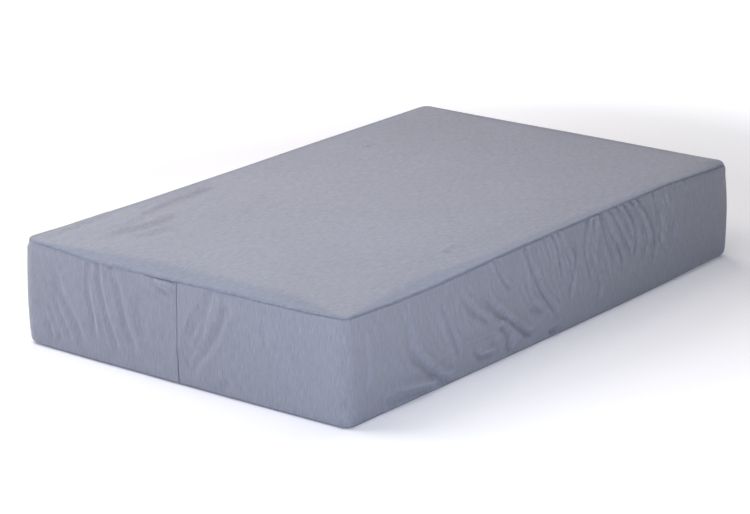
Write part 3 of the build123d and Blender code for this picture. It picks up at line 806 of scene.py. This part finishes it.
# ---------------------------------------------------------------- the cloth finds its own rest
def settle(obj, free, slack, frames=8):
    """Blender's cloth solver on a piece that is stitched down where free is 0 and loose where it is 1. Returns the settled points."""
    n = len(obj.data.vertices)
    held = obj.vertex_groups.new(name="held")
    level = np.round((1 - np.clip(free, 0, 1)) * 20).astype(int)
    for k in range(1, 21):
        held.add(np.where(level == k)[0].tolist(), k / 20, "REPLACE")
    mod = obj.modifiers.new("settle", "CLOTH")
    c = mod.settings
    c.quality = 3
    c.mass = 0.22
    c.tension_stiffness = c.compression_stiffness = 14.0
    c.shear_stiffness = 5.0
    c.bending_stiffness = 0.35
    c.tension_damping = c.compression_damping = c.shear_damping = 8.0
    c.bending_damping = 0.6
    c.air_damping = 4.0
    c.vertex_group_mass = "held"
    c.pin_stiffness = 1.0
    # cut a little wider than the foam is round, and no taller
    obj.shape_key_add(name="as placed")
    cut = obj.shape_key_add(name="as cut")
    placed = np.empty(n * 3, np.float32)
    obj.data.vertices.foreach_get("co", placed)
    cut.data.foreach_set("co", (placed.reshape(-1, 3) * np.array([1 + slack, 1 + slack, 1.0], np.float32)).ravel())
    c.rest_shape_key = cut
    c.effector_weights.gravity = 0.1
    mod.collision_settings.use_collision = False
    mod.collision_settings.use_self_collision = False
    mod.point_cache.frame_start, mod.point_cache.frame_end = 1, frames
    for f in range(1, frames + 1):
        scene.frame_set(f)
    co = np.empty(n * 3, np.float32)
    obj.evaluated_get(bpy.context.evaluated_depsgraph_get()).data.vertices.foreach_get("co", co)
    obj.modifiers.remove(mod)
    obj.shape_key_clear()
    obj.vertex_groups.clear()
    scene.frame_set(1)
    return co.reshape(-1, 3).astype(float)


def settle_band(band):
    """The side band hangs slack between its two seams: the drawn folds are where it starts to buckle, and the solver carries them on."""
    n = len(band.data.vertices)
    cl = np.empty(n * 3, np.float32)
    band.data.attributes["cloth"].data.foreach_get("vector", cl)
    s, z = cl.reshape(-1, 3)[:, 0].astype(float), cl.reshape(-1, 3)[:, 1].astype(float)
    co = np.empty(n * 3, np.float32)
    band.data.vertices.foreach_get("co", co)
    co = co.reshape(-1, 3).astype(float)
    zs = seam_z(s)
    y = S_LEFT + CY - s
    left = (s > S_LEFT - 0.02) & (s < S_FOOTL + 0.02)
    free = step(0.016, 0.060, zs - z) * step(0.018, 0.130, z) * step(0.018, 0.045, np.minimum(s, S_END - s))
    free = free * np.where(left, 1 - step(0.110, 0.056, z) * step(ZIP_Y + 0.080, ZIP_Y + 0.030, np.abs(y)), 1.0)
    corner = np.zeros(n)
    for start, _ in CORNERS:
        corner = np.maximum(corner, step(0.11, 0.05, np.abs((s - start - ARC / 2 + S_END / 2) % S_END - S_END / 2)))
    free = free * (1 - 0.85 * corner)
    new = settle(band, free, 0.007)
    move = (new - co) * free[:, None]
    far = np.linalg.norm(move, axis=1)
    move *= np.minimum(1.0, 0.006 / np.maximum(far, 1e-9))[:, None]
    new = co + move
    # never inside the sleeve
    p, nrm = plan(s)
    o = ((new[:, :2] - p) * nrm).sum(1)
    need = np.maximum(0, sleeve_edge(new[:, 2]) + 0.0004 - o) * (free > 0)
    new[:, :2] += nrm * need[:, None]
    band.data.vertices.foreach_set("co", new.astype(np.float32).ravel())
    band.data.update()
    print("settled: moved up to", round(float(np.linalg.norm(new - co, axis=1).max()) * 1000, 2), "mm, mean", round(float(np.linalg.norm(new - co, axis=1).mean()) * 1000, 3))


# ---------------------------------------------------------------- zip, on the -X face: u runs outwards, which is -X
ZIP_Z = 0.034


def build_coil(name, side):
    """The teeth of one half of a nylon coil zip: loops of one monofilament, sewn to the tape's edge. side is +1 above the centre line."""
    pitch, seg, ring = 2.2 * MM, 9, 5
    count = int(2 * 0.836 / pitch)
    y0 = -0.836 + (0.5 * pitch if side > 0 else 0.0) * 1.0
    t = np.linspace(0, 2 * math.pi, seg, endpoint=False)
    a = np.linspace(0, 2 * math.pi, ring, endpoint=False)
    wire = 0.33 * MM
    # one loop: flattened oval in the u-z plane that advances by half a pitch, with a swollen head towards the centre line
    cz = np.array([2.05 + 1.35 * math.cos(k) for k in t]) * MM * side
    cu = np.array([0.85 * math.sin(k) for k in t]) * MM
    cy = np.array([0.42 * math.sin(k * 0.5) for k in t]) * MM
    head = 1 + 0.35 * np.exp(-(((t - math.pi) / 0.8) ** 2))
    tang = np.stack([np.roll(cu, -1) - np.roll(cu, 1), np.zeros(seg), np.roll(cz, -1) - np.roll(cz, 1)], -1)
    tang /= np.linalg.norm(tang, axis=1)[:, None]
    across = np.cross(tang, [0, 1, 0])
    loop = (np.stack([cu, cy, cz], -1)[:, None, :]
            + wire * head[:, None, None] * (np.cos(a)[None, :, None] * across[:, None, :] + 1.25 * np.sin(a)[None, :, None] * np.array([0, 1.0, 0])))
    base = np.arange(seg * ring).reshape(seg, ring)
    q = np.stack([base, np.roll(base, -1, 1), np.roll(np.roll(base, -1, 0), -1, 1), np.roll(base, -1, 0)], -1).reshape(-1, 4)
    ys = y0 + (np.arange(count) + 0.5) * pitch
    v = np.repeat(loop[None], count, 0)
    v = v.reshape(count, -1, 3).copy()
    v[..., 1] += ys[:, None]
    v[..., 0] = -(0.60436 + v[..., 0])
    v[..., 2] += ZIP_Z
    quads = (q[None] + (np.arange(count) * seg * ring)[:, None, None]).reshape(-1, 4)
    if side > 0:
        quads = quads[:, ::-1]
    return make_mesh(name, v.reshape(-1, 3), quads)


def tube(points, radius, ring=6, closed=False):
    p = np.asarray(points, float)
    g = np.gradient(p, axis=0)
    g /= np.linalg.norm(g, axis=1)[:, None]
    ref = np.tile([0.0, 0.0, 1.0], (len(p), 1))
    ref[np.abs(g[:, 2]) > 0.9] = [1.0, 0, 0]
    a1 = np.cross(g, ref)
    a1 /= np.linalg.norm(a1, axis=1)[:, None]
    a2 = np.cross(g, a1)
    t = np.linspace(0, 2 * math.pi, ring, endpoint=False)
    r = np.full(len(p), radius) if np.isscalar(radius) else np.asarray(radius)
    v = p[:, None] + r[:, None, None] * (np.cos(t)[None, :, None] * a1[:, None] + np.sin(t)[None, :, None] * a2[:, None])
    i = np.arange(len(p) * ring).reshape(len(p), ring)
    q = np.stack([i[:-1], np.roll(i[:-1], -1, 1), np.roll(i[1:], -1, 1), i[1:]], -1).reshape(-1, 4)
    return v.reshape(-1, 3), q


def stitches(name, runs, length, gap, lift, radius):
    """Rows of thread stitches. A run is (start, end, outward normal)."""
    vs, qs, base = [], [], 0
    for a, b, n in runs:
        a, b, n = np.array(a, float), np.array(b, float), np.array(n, float)
        total = np.linalg.norm(b - a)
        d = (b - a) / total
        k = max(1, int(total / (length + gap)))
        stride = total / k
        t = np.linspace(0, 1, 6)
        for i in range(k):
            c = a + d * (i * stride + gap / 2)
            pts = c + d * ((stride - gap) * t)[:, None] + n * (lift * np.sin(math.pi * t) - 0.35 * radius)[:, None]
            v, q = tube(pts, radius * (0.35 + 0.65 * np.sin(math.pi * np.clip(t, 0.06, 0.94)) ** 0.5), 5)
            vs.append(v)
            qs.append(q + base)
            base += len(v)
    return make_mesh(name, np.vstack(vs), np.vstack(qs))


# ---------------------------------------------------------------- materials
def tree(name):
    m = bpy.data.materials.new(name)
    m.use_nodes = True
    nt = m.node_tree
    for n in list(nt.nodes):
        nt.nodes.remove(n)
    out = nt.nodes.new("ShaderNodeOutputMaterial")
    bsdf = nt.nodes.new("ShaderNodeBsdfPrincipled")
    nt.links.new(bsdf.outputs[0], out.inputs[0])
    return m, nt, bsdf


def node(nt, kind, links=(), **values):
    n = nt.nodes.new(kind)
    for k, v in values.items():
        if k in n.inputs and not hasattr(type(n), k):
            n.inputs[k].default_value = v
        else:
            setattr(n, k, v)
    for src, dst in links:
        nt.links.new(src, n.inputs[dst])
    return n


def srgb(r, g, b):
    f = lambda c: c / 12.92 if c <= 0.04045 else ((c + 0.055) / 1.055) ** 2.4
    return (f(r / 255), f(g / 255), f(b / 255), 1.0)


def scaled(nt, vector, scale):
    n = node(nt, "ShaderNodeMapping")
    n.inputs["Scale"].default_value = scale
    nt.links.new(vector, n.inputs["Vector"])
    return n.outputs["Vector"]


def fac(nt, vector, scale, detail=2.0, rough=0.5):
    n = node(nt, "ShaderNodeTexNoise")
    n.inputs["Scale"].default_value = scale
    n.inputs["Detail"].default_value = detail
    n.inputs["Roughness"].default_value = rough
    nt.links.new(vector, n.inputs["Vector"])
    return n.outputs["Fac"]


def math_node(nt, op, a, b=None, c=None, clamp=False):
    n = nt.nodes.new("ShaderNodeMath")
    n.operation = op
    n.use_clamp = clamp
    for i, x in enumerate((a, b, c)):
        if x is None:
            continue
        if hasattr(x, "is_output"):
            nt.links.new(x, n.inputs[i])
        else:
            n.inputs[i].default_value = x
    return n.outputs[0]


def ramp(nt, value, stops):
    n = nt.nodes.new("ShaderNodeValToRGB")
    nt.links.new(value, n.inputs[0])
    e = n.color_ramp.elements
    while len(e) < len(stops):
        e.new(0.5)
    for el, (pos, col) in zip(e, stops):
        el.position = pos
        el.color = col
    return n.outputs[0]


def mul(c, k):
    return tuple(min(1.0, x * k) for x in c[:3]) + (1.0,)


def knit(name, base, spread=0.13, streaks=((1, 0),), bump=0.35, sheen=0.35, grain=1.0, edge=None):
    """Heather jersey: long fine streaks of lighter and darker yarn over the knit's wales. The cloth attribute is in metres across (x) and along (y)."""
    m, nt, bsdf = tree(name)
    at = node(nt, "ShaderNodeAttribute", attribute_name="cloth")
    v = at.outputs["Vector"]
    total = None
    for k, (sx, sy, weight) in enumerate(streaks):
        n1 = fac(nt, scaled(nt, v, (sx, sy, 0.0)), 1.0, 3.0, 0.65)
        n1 = math_node(nt, "MULTIPLY", math_node(nt, "SUBTRACT", n1, 0.5), weight)
        total = n1 if total is None else math_node(nt, "ADD", total, n1)
    broad = math_node(nt, "MULTIPLY", math_node(nt, "SUBTRACT", fac(nt, v, 3.3, 3.0, 0.55), 0.5), 0.20)
    speck = math_node(nt, "MULTIPLY", math_node(nt, "SUBTRACT", fac(nt, v, 620.0, 2.0, 0.7), 0.5), 0.5 * grain)
    total = math_node(nt, "ADD", total, math_node(nt, "ADD", broad, speck))
    value = math_node(nt, "ADD", total, 0.5, clamp=True)
    colour = ramp(nt, value, [(0.0, mul(base, 1 - 2.0 * spread)), (0.5, base), (1.0, mul(base, 1 + 2.0 * spread))])
    if edge:
        # painted shade from the mesh's edge value: none at 0, the edge colour at 0.7 and darker still at 1; it makes
        # the top panel's slope towards the seam darker and bluer, and darkens the seams' depth and the foot joint
        painted_shade = ramp(nt, node(nt, "ShaderNodeAttribute", attribute_name="edge").outputs["Fac"], [(0.0, (1, 1, 1, 1)), (0.7, edge), (1.0, mul(edge, 0.45))])
        mix = node(nt, "ShaderNodeMix", data_type="RGBA", blend_type="MULTIPLY")
        mix.inputs[0].default_value = 1.0
        nt.links.new(colour, mix.inputs[6])
        nt.links.new(painted_shade, mix.inputs[7])
        colour = mix.outputs[2]
    nt.links.new(colour, bsdf.inputs["Base Color"])
    # wales, 1.25 mm apart, with the short courses across them
    wales = node(nt, "ShaderNodeTexWave", wave_type="BANDS", bands_direction="X", wave_profile="SIN")
    wales.inputs["Scale"].default_value = 800.0 / (2 * math.pi) * 0.314
    wales.inputs["Distortion"].default_value = 2.2
    wales.inputs["Detail"].default_value = 1.0
    wales.inputs["Detail Scale"].default_value = 30.0
    nt.links.new(scaled(nt, v, (20.0, 20.0, 1.0)), wales.inputs["Vector"])
    courses = node(nt, "ShaderNodeTexWave", wave_type="BANDS", bands_direction="Y", wave_profile="SIN")
    courses.inputs["Scale"].default_value = 800.0 / (2 * math.pi) * 0.40
    courses.inputs["Distortion"].default_value = 3.0
    courses.inputs["Detail Scale"].default_value = 30.0
    nt.links.new(scaled(nt, v, (20.0, 20.0, 1.0)), courses.inputs["Vector"])
    fine = math_node(nt, "ADD", math_node(nt, "MULTIPLY", wales.outputs["Fac"], 0.6), math_node(nt, "MULTIPLY", courses.outputs["Fac"], 0.35))
    fuzz = fac(nt, v, 900.0, 2.0, 0.6)
    fine = math_node(nt, "ADD", fine, math_node(nt, "MULTIPLY", fuzz, 0.5))
    b1 = node(nt, "ShaderNodeBump")
    b1.inputs["Strength"].default_value = bump
    b1.inputs["Distance"].default_value = 0.00016
    nt.links.new(fine, b1.inputs["Height"])
    soft = node(nt, "ShaderNodeBump")
    soft.inputs["Strength"].default_value = 0.5
    soft.inputs["Distance"].default_value = 0.0011
    nt.links.new(total, soft.inputs["Height"])
    nt.links.new(b1.outputs["Normal"], soft.inputs["Normal"])
    nt.links.new(soft.outputs["Normal"], bsdf.inputs["Normal"])
    rough = math_node(nt, "ADD", math_node(nt, "MULTIPLY", total, 0.2), 0.82, clamp=True)
    nt.links.new(rough, bsdf.inputs["Roughness"])
    bsdf.inputs["Specular IOR Level"].default_value = 0.22
    bsdf.inputs["Sheen Weight"].default_value = sheen
    bsdf.inputs["Sheen Roughness"].default_value = 0.45
    bsdf.inputs["Sheen Tint"].default_value = (0.86, 0.90, 1.0, 1.0)
    return m


def woven(name, base, pitch=0.0009, spread=0.14, bump=0.5, rough=0.85, dirs=("Y", "Z")):
    """Plain or twill weave in object coordinates, for tapes and linings."""
    m, nt, bsdf = tree(name)
    tc = node(nt, "ShaderNodeTexCoord")
    v = tc.outputs["Object"]
    waves = []
    for d in dirs:
        w = node(nt, "ShaderNodeTexWave", wave_type="BANDS", bands_direction=d, wave_profile="SIN")
        w.inputs["Scale"].default_value = 1.0 / (pitch * 20.0)
        w.inputs["Distortion"].default_value = 0.6
        nt.links.new(v, w.inputs["Vector"])
        waves.append(w.outputs["Fac"])
    weave = math_node(nt, "MULTIPLY", waves[0], waves[1])
    n = fac(nt, v, 260.0, 3.0, 0.6)
    total = math_node(nt, "ADD", math_node(nt, "MULTIPLY", weave, 0.55), math_node(nt, "MULTIPLY", n, 0.7), clamp=True)
    colour = ramp(nt, total, [(0.1, mul(base, 1 - 2 * spread)), (0.55, base), (1.0, mul(base, 1 + 1.6 * spread))])
    nt.links.new(colour, bsdf.inputs["Base Color"])
    b = node(nt, "ShaderNodeBump")
    b.inputs["Strength"].default_value = bump
    b.inputs["Distance"].default_value = 0.0002
    nt.links.new(total, b.inputs["Height"])
    nt.links.new(b.outputs["Normal"], bsdf.inputs["Normal"])
    bsdf.inputs["Roughness"].default_value = rough
    bsdf.inputs["Specular IOR Level"].default_value = 0.25
    bsdf.inputs["Sheen Weight"].default_value = 0.2
    return m


def foam(name, base, cell=0.0022, spread=0.10):
    """Open-celled foam: fine pores with a slight unevenness of colour."""
    m, nt, bsdf = tree(name)
    v = node(nt, "ShaderNodeTexCoord").outputs["Object"]
    vo = node(nt, "ShaderNodeTexVoronoi", feature="F1")
    vo.inputs["Scale"].default_value = 1.0 / cell
    nt.links.new(v, vo.inputs["Vector"])
    pores = math_node(nt, "MULTIPLY", vo.outputs["Distance"], 1.1, clamp=True)
    tone = fac(nt, v, 14.0, 4.0, 0.6)
    total = math_node(nt, "ADD", math_node(nt, "MULTIPLY", pores, 0.6), math_node(nt, "MULTIPLY", tone, 0.4), clamp=True)
    colour = ramp(nt, total, [(0.15, mul(base, 1 - 2 * spread)), (0.5, base), (0.9, mul(base, 1 + spread))])
    nt.links.new(colour, bsdf.inputs["Base Color"])
    b = node(nt, "ShaderNodeBump")
    b.inputs["Strength"].default_value = 0.6
    b.inputs["Distance"].default_value = 0.0005
    nt.links.new(pores, b.inputs["Height"])
    nt.links.new(b.outputs["Normal"], bsdf.inputs["Normal"])
    bsdf.inputs["Roughness"].default_value = 0.95
    bsdf.inputs["Specular IOR Level"].default_value = 0.15
    bsdf.inputs["Subsurface Weight"].default_value = 0.05
    return m


def plastic(name, base, rough=0.38):
    m, nt, bsdf = tree(name)
    v = node(nt, "ShaderNodeTexCoord").outputs["Object"]
    n = fac(nt, v, 1800.0, 2.0, 0.5)
    colour = ramp(nt, fac(nt, v, 90.0, 3.0, 0.6), [(0.25, mul(base, 0.86)), (0.75, mul(base, 1.1))])
    nt.links.new(colour, bsdf.inputs["Base Color"])
    r = math_node(nt, "ADD", math_node(nt, "MULTIPLY", n, 0.16), rough - 0.08)
    nt.links.new(r, bsdf.inputs["Roughness"])
    b = node(nt, "ShaderNodeBump")
    b.inputs["Strength"].default_value = 0.15
    b.inputs["Distance"].default_value = 0.00005
    nt.links.new(n, b.inputs["Height"])
    nt.links.new(b.outputs["Normal"], bsdf.inputs["Normal"])
    return m


def metal(name, base):
    """Plated die casting: rubbed bright on its edges, with fine pits."""
    m, nt, bsdf = tree(name)
    tc = node(nt, "ShaderNodeTexCoord")
    v = tc.outputs["Object"]
    geo = node(nt, "ShaderNodeNewGeometry")
    wear = math_node(nt, "MULTIPLY", math_node(nt, "SUBTRACT", geo.outputs["Pointiness"], 0.5), 9.0)
    n = fac(nt, v, 700.0, 4.0, 0.6)
    mix = math_node(nt, "ADD", math_node(nt, "MULTIPLY", n, 0.7), wear, clamp=True)
    colour = ramp(nt, mix, [(0.2, mul(base, 0.62)), (0.55, base), (1.0, mul(base, 1.5))])
    nt.links.new(colour, bsdf.inputs["Base Color"])
    bsdf.inputs["Metallic"].default_value = 1.0
    r = math_node(nt, "ADD", math_node(nt, "MULTIPLY", fac(nt, v, 2400.0, 2.0, 0.5), 0.18), 0.24)
    nt.links.new(r, bsdf.inputs["Roughness"])
    b = node(nt, "ShaderNodeBump")
    b.inputs["Strength"].default_value = 0.2
    b.inputs["Distance"].default_value = 0.00006
    nt.links.new(n, b.inputs["Height"])
    nt.links.new(b.outputs["Normal"], bsdf.inputs["Normal"])
    return m


def thread(name, base):
    m, nt, bsdf = tree(name)
    v = node(nt, "ShaderNodeTexCoord").outputs["Object"]
    n = fac(nt, v, 1500.0, 3.0, 0.6)
    colour = ramp(nt, n, [(0.25, mul(base, 0.75)), (0.75, mul(base, 1.2))])
    nt.links.new(colour, bsdf.inputs["Base Color"])
    b = node(nt, "ShaderNodeBump")
    b.inputs["Strength"].default_value = 0.4
    b.inputs["Distance"].default_value = 0.0001
    nt.links.new(n, b.inputs["Height"])
    nt.links.new(b.outputs["Normal"], bsdf.inputs["Normal"])
    bsdf.inputs["Roughness"].default_value = 0.6
    bsdf.inputs["Sheen Weight"].default_value = 0.3
    return m


def paint(obj, material):
    obj.data.materials.clear()
    obj.data.materials.append(material)


# ---------------------------------------------------------------- pieces
KNIT = (0.262, 0.270, 0.312, 1.0)
# edge is the colour of each knit's painted shade: darker and bluer on the top panel's slope, grey in the seams and at
# the foot joint
m_top = knit("cover_knit_top", KNIT, 0.18, ((45.0, 260.0, 1.1), (210.0, 30.0, 1.0)), bump=0.35, edge=(0.81, 0.87, 0.93, 1.0))
m_side = knit("cover_knit_side", KNIT, 0.13, ((330.0, 34.0, 1.4), (130.0, 18.0, 0.6)), bump=0.35, edge=(0.74, 0.75, 0.78, 1.0))
m_under = knit("underside_cloth", (0.215, 0.222, 0.255, 1.0), 0.12, ((260.0, 260.0, 0.6),), bump=0.6, sheen=0.1)
m_tape = woven("zip_tape_cloth", (0.100, 0.104, 0.125, 1.0), 0.0008)
m_binding = woven("binding_cloth", (0.190, 0.195, 0.225, 1.0), 0.0010)
m_sleeve = woven("sleeve_cloth", (0.62, 0.61, 0.58, 1.0), 0.0014, spread=0.05)
m_thread = thread("sewing_thread", (0.30, 0.31, 0.35, 1.0))
m_coil = plastic("zip_coil_nylon", (0.085, 0.088, 0.105, 1.0))
m_metal = metal("zip_metal_plated", (0.50, 0.50, 0.51, 1.0))
m_base = foam("base_foam_open_cell", (0.66, 0.64, 0.60, 1.0), 0.0026)
m_mid = foam("transition_foam_open_cell", (0.70, 0.72, 0.74, 1.0), 0.0022)
m_memory = foam("memory_foam_fine_cell", (0.78, 0.74, 0.62, 1.0), 0.0014)

for name, material in {
    "base_foam_lower": m_base, "base_foam_zoned": m_base, "transition_foam": m_mid, "memory_foam": m_memory,
    "inner_sleeve": m_sleeve, "inner_sleeve_closing_seam": m_thread, "zip_tape_upper": m_tape, "zip_tape_lower": m_tape, "zip_end_stops": m_metal,
    "zip_end_patch_head": m_tape, "zip_end_patch_foot": m_tape, "zip_slider": m_metal, "zip_pull": m_metal,
}.items():
    paint(nodes[name], material)

band, top_tape, bottom_tape, joint_tape = build_band()
settle_band(band)
top = build_top()
under = build_underside()
strip = build_zip_strip()
coil_up = build_coil("zip_coil_loops_upper", 1)
coil_low = build_coil("zip_coil_loops_lower", -1)
for piece, material, node_name, slot in (
    (band, m_side, "cover_side_band", "cover_knit"), (top, m_top, "cover_top_panel", "cover_knit"), (under, m_under, "cover_underside_panel", "underside_cloth"),
    (strip, m_side, "cover_zip_strip", "cover_knit"), (top_tape, m_binding, "top_seam_binding", "binding_tape"),
    (bottom_tape, m_binding, "bottom_seam_binding", "binding_tape"), (joint_tape, m_binding, "foot_joint_binding", "binding_tape"), (coil_up, m_coil, "zip_coil_upper", "zip_coil"), (coil_low, m_coil, "zip_coil_lower", "zip_coil"),
):
    paint(piece, material)
    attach(piece, "root")
    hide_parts(node_name)

runs = []
for end in (1, -1):
    a, b = 0.8425 * end, 0.8615 * end
    for z in (0.0245, 0.0435):
        runs.append(((-0.6061, a, z), (-0.6061, b, z), (-1, 0, 0)))
    for y in (a, b):
        runs.append(((-0.6061, y, 0.0245), (-0.6061, y, 0.0435), (-1, 0, 0)))
    runs.append(((-0.6061, a, 0.0245), (-0.6061, b, 0.0435), (-1, 0, 0)))
    runs.append(((-0.6061, a, 0.0435), (-0.6061, b, 0.0245), (-1, 0, 0)))
patch_thread = stitches("zip_patch_stitches", runs, 2.4 * MM, 0.5 * MM, 0.16 * MM, 0.24 * MM)
lips = stitches("zip_lip_stitches", [((-0.60492, -0.838, 0.0441), (-0.60492, 0.838, 0.0441), (-1, 0, 0)), ((-0.60490, -0.838, 0.0243), (-0.60490, 0.838, 0.0243), (-1, 0, 0))],
                2.7 * MM, 0.7 * MM, 0.12 * MM, 0.20 * MM)
for piece in (patch_thread, lips):
    paint(piece, m_thread)
    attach(piece, "root")


# ---------------------------------------------------------------- floor, light and camera
def stage_floor():
    v = [(-14, -14, 0), (14, -14, 0), (14, 14, 0), (-14, 14, 0)]
    floor = make_mesh("studio_floor", v, [(0, 1, 2, 3)])
    m, nt, bsdf = tree("studio_floor_paper")
    coord = node(nt, "ShaderNodeTexCoord").outputs["Object"]
    colour = ramp(nt, fac(nt, coord, 1.3, 3.0, 0.5), [(0.3, (0.80, 0.80, 0.81, 1)), (0.7, (0.82, 0.82, 0.83, 1))])
    nt.links.new(colour, bsdf.inputs["Base Color"])
    # a light table: it glows a little beside the mattress, and more towards the backdrop
    reach = node(nt, "ShaderNodeVectorMath", operation="LENGTH")
    shifted = node(nt, "ShaderNodeMapping")
    shifted.inputs["Location"].default_value = (0.35, -0.1, 0.0)
    shifted.inputs["Scale"].default_value = (1.0, 0.75, 1.0)
    nt.links.new(coord, shifted.inputs["Vector"])
    nt.links.new(shifted.outputs["Vector"], reach.inputs[0])
    near = math_node(nt, "MULTIPLY", reach.outputs["Value"], 0.2, clamp=True)
    glow = ramp(nt, near, [(0.25, (0.172, 0.177, 0.192, 1)), (0.31, (0.285, 0.292, 0.312, 1)), (0.40, (0.72, 0.73, 0.76, 1)), (0.60, (1.0, 1.0, 1.0, 1))])
    nt.links.new(glow, bsdf.inputs["Emission Color"])
    bsdf.inputs["Emission Strength"].default_value = 1.0
    bsdf.inputs["Roughness"].default_value = 0.9
    bsdf.inputs["Specular IOR Level"].default_value = 0.1
    paint(floor, m)


def area(name, place, aim, size, power, colour, spread=180.0):
    d = bpy.data.lights.new(name, "AREA")
    d.shape = "RECTANGLE"
    d.size, d.size_y = size
    d.energy = power
    d.color = colour
    d.spread = math.radians(spread)
    o = bpy.data.objects.new(name, d)
    o.location = place
    from mathutils import Vector
    o.rotation_mode = "QUATERNION"
    o.rotation_quaternion = (Vector(aim) - Vector(place)).to_track_quat("-Z", "Y")
    scene.collection.objects.link(o)
    return o


def world_light(strength, colour):
    w = bpy.data.worlds.new("studio")
    w.use_nodes = True
    bg = w.node_tree.nodes["Background"]
    bg.inputs[0].default_value = colour
    bg.inputs[1].default_value = strength
    scene.world = w


def photo_camera():
    az, el, roll = math.radians(38.70024969578081), math.radians(17.687063903647353), math.radians(-0.7927307559883158)
    dist, tx, ty, focal = 9.104499992809577, -0.2840183338498294, 0.278316631699674, 2889.6173816691385
    back = np.array([math.sin(az) * math.cos(el), -math.cos(az) * math.cos(el), math.sin(el)])
    right = np.cross([0, 0, 1.0], back)
    right /= np.linalg.norm(right)
    up = np.cross(back, right)
    c, s = math.cos(roll), math.sin(roll)
    r2, u2 = c * right + s * up, -s * right + c * up
    from mathutils import Matrix
    place = back * dist + np.array([tx, ty, 0])
    d = bpy.data.cameras.new("photo_camera")
    d.sensor_width = 36.0
    d.lens = focal / 750 * 36.0
    d.clip_start, d.clip_end = 0.05, 100.0
    o = bpy.data.objects.new("photo_camera", d)
    o.matrix_world = Matrix(((r2[0], u2[0], back[0], place[0]), (r2[1], u2[1], back[1], place[1]), (r2[2], u2[2], back[2], place[2]), (0, 0, 0, 1)))
    scene.collection.objects.link(o)
    scene.camera = o


stage_floor()
world_light(0.03, (0.96, 0.97, 1.0, 1.0))
WARM, COOL = (1.0, 0.96, 0.95), (0.71, 0.80, 1.0)
area("overhead_softbox", (0.35, -0.35, 3.1), (0.1, -0.3, 0.2), (3.0, 3.0), 61.0, WARM)
area("high_left_softbox", (-1.2, -1.5, 2.4), (0.0, -0.3, 0.2), (1.6, 1.6), 42.0, WARM)
area("high_back_softbox", (-3.0, 2.4, 2.4), (0.0, 0.0, 0.2), (2.4, 1.8), 72.0, WARM)
area("low_front_softbox", (1.7, -4.4, 1.1), (0.1, -0.9, 0.15), (1.2, 0.9), 30.0, COOL)
area("front_right_softbox", (2.2, -3.3, 1.0), (0.4, -0.5, 0.15), (0.9, 0.7), 24.5, COOL)
area("front_left_softbox", (-3.5, -2.8, 1.4), (-0.2, -0.7, 0.15), (1.8, 1.4), 42.0, COOL)
area("right_softbox", (2.5, -1.6, 0.9), (0.6, -0.35, 0.15), (0.8, 0.8), 2.3, COOL, 70.0)
photo_camera()
scene.view_settings.view_transform = "Standard"
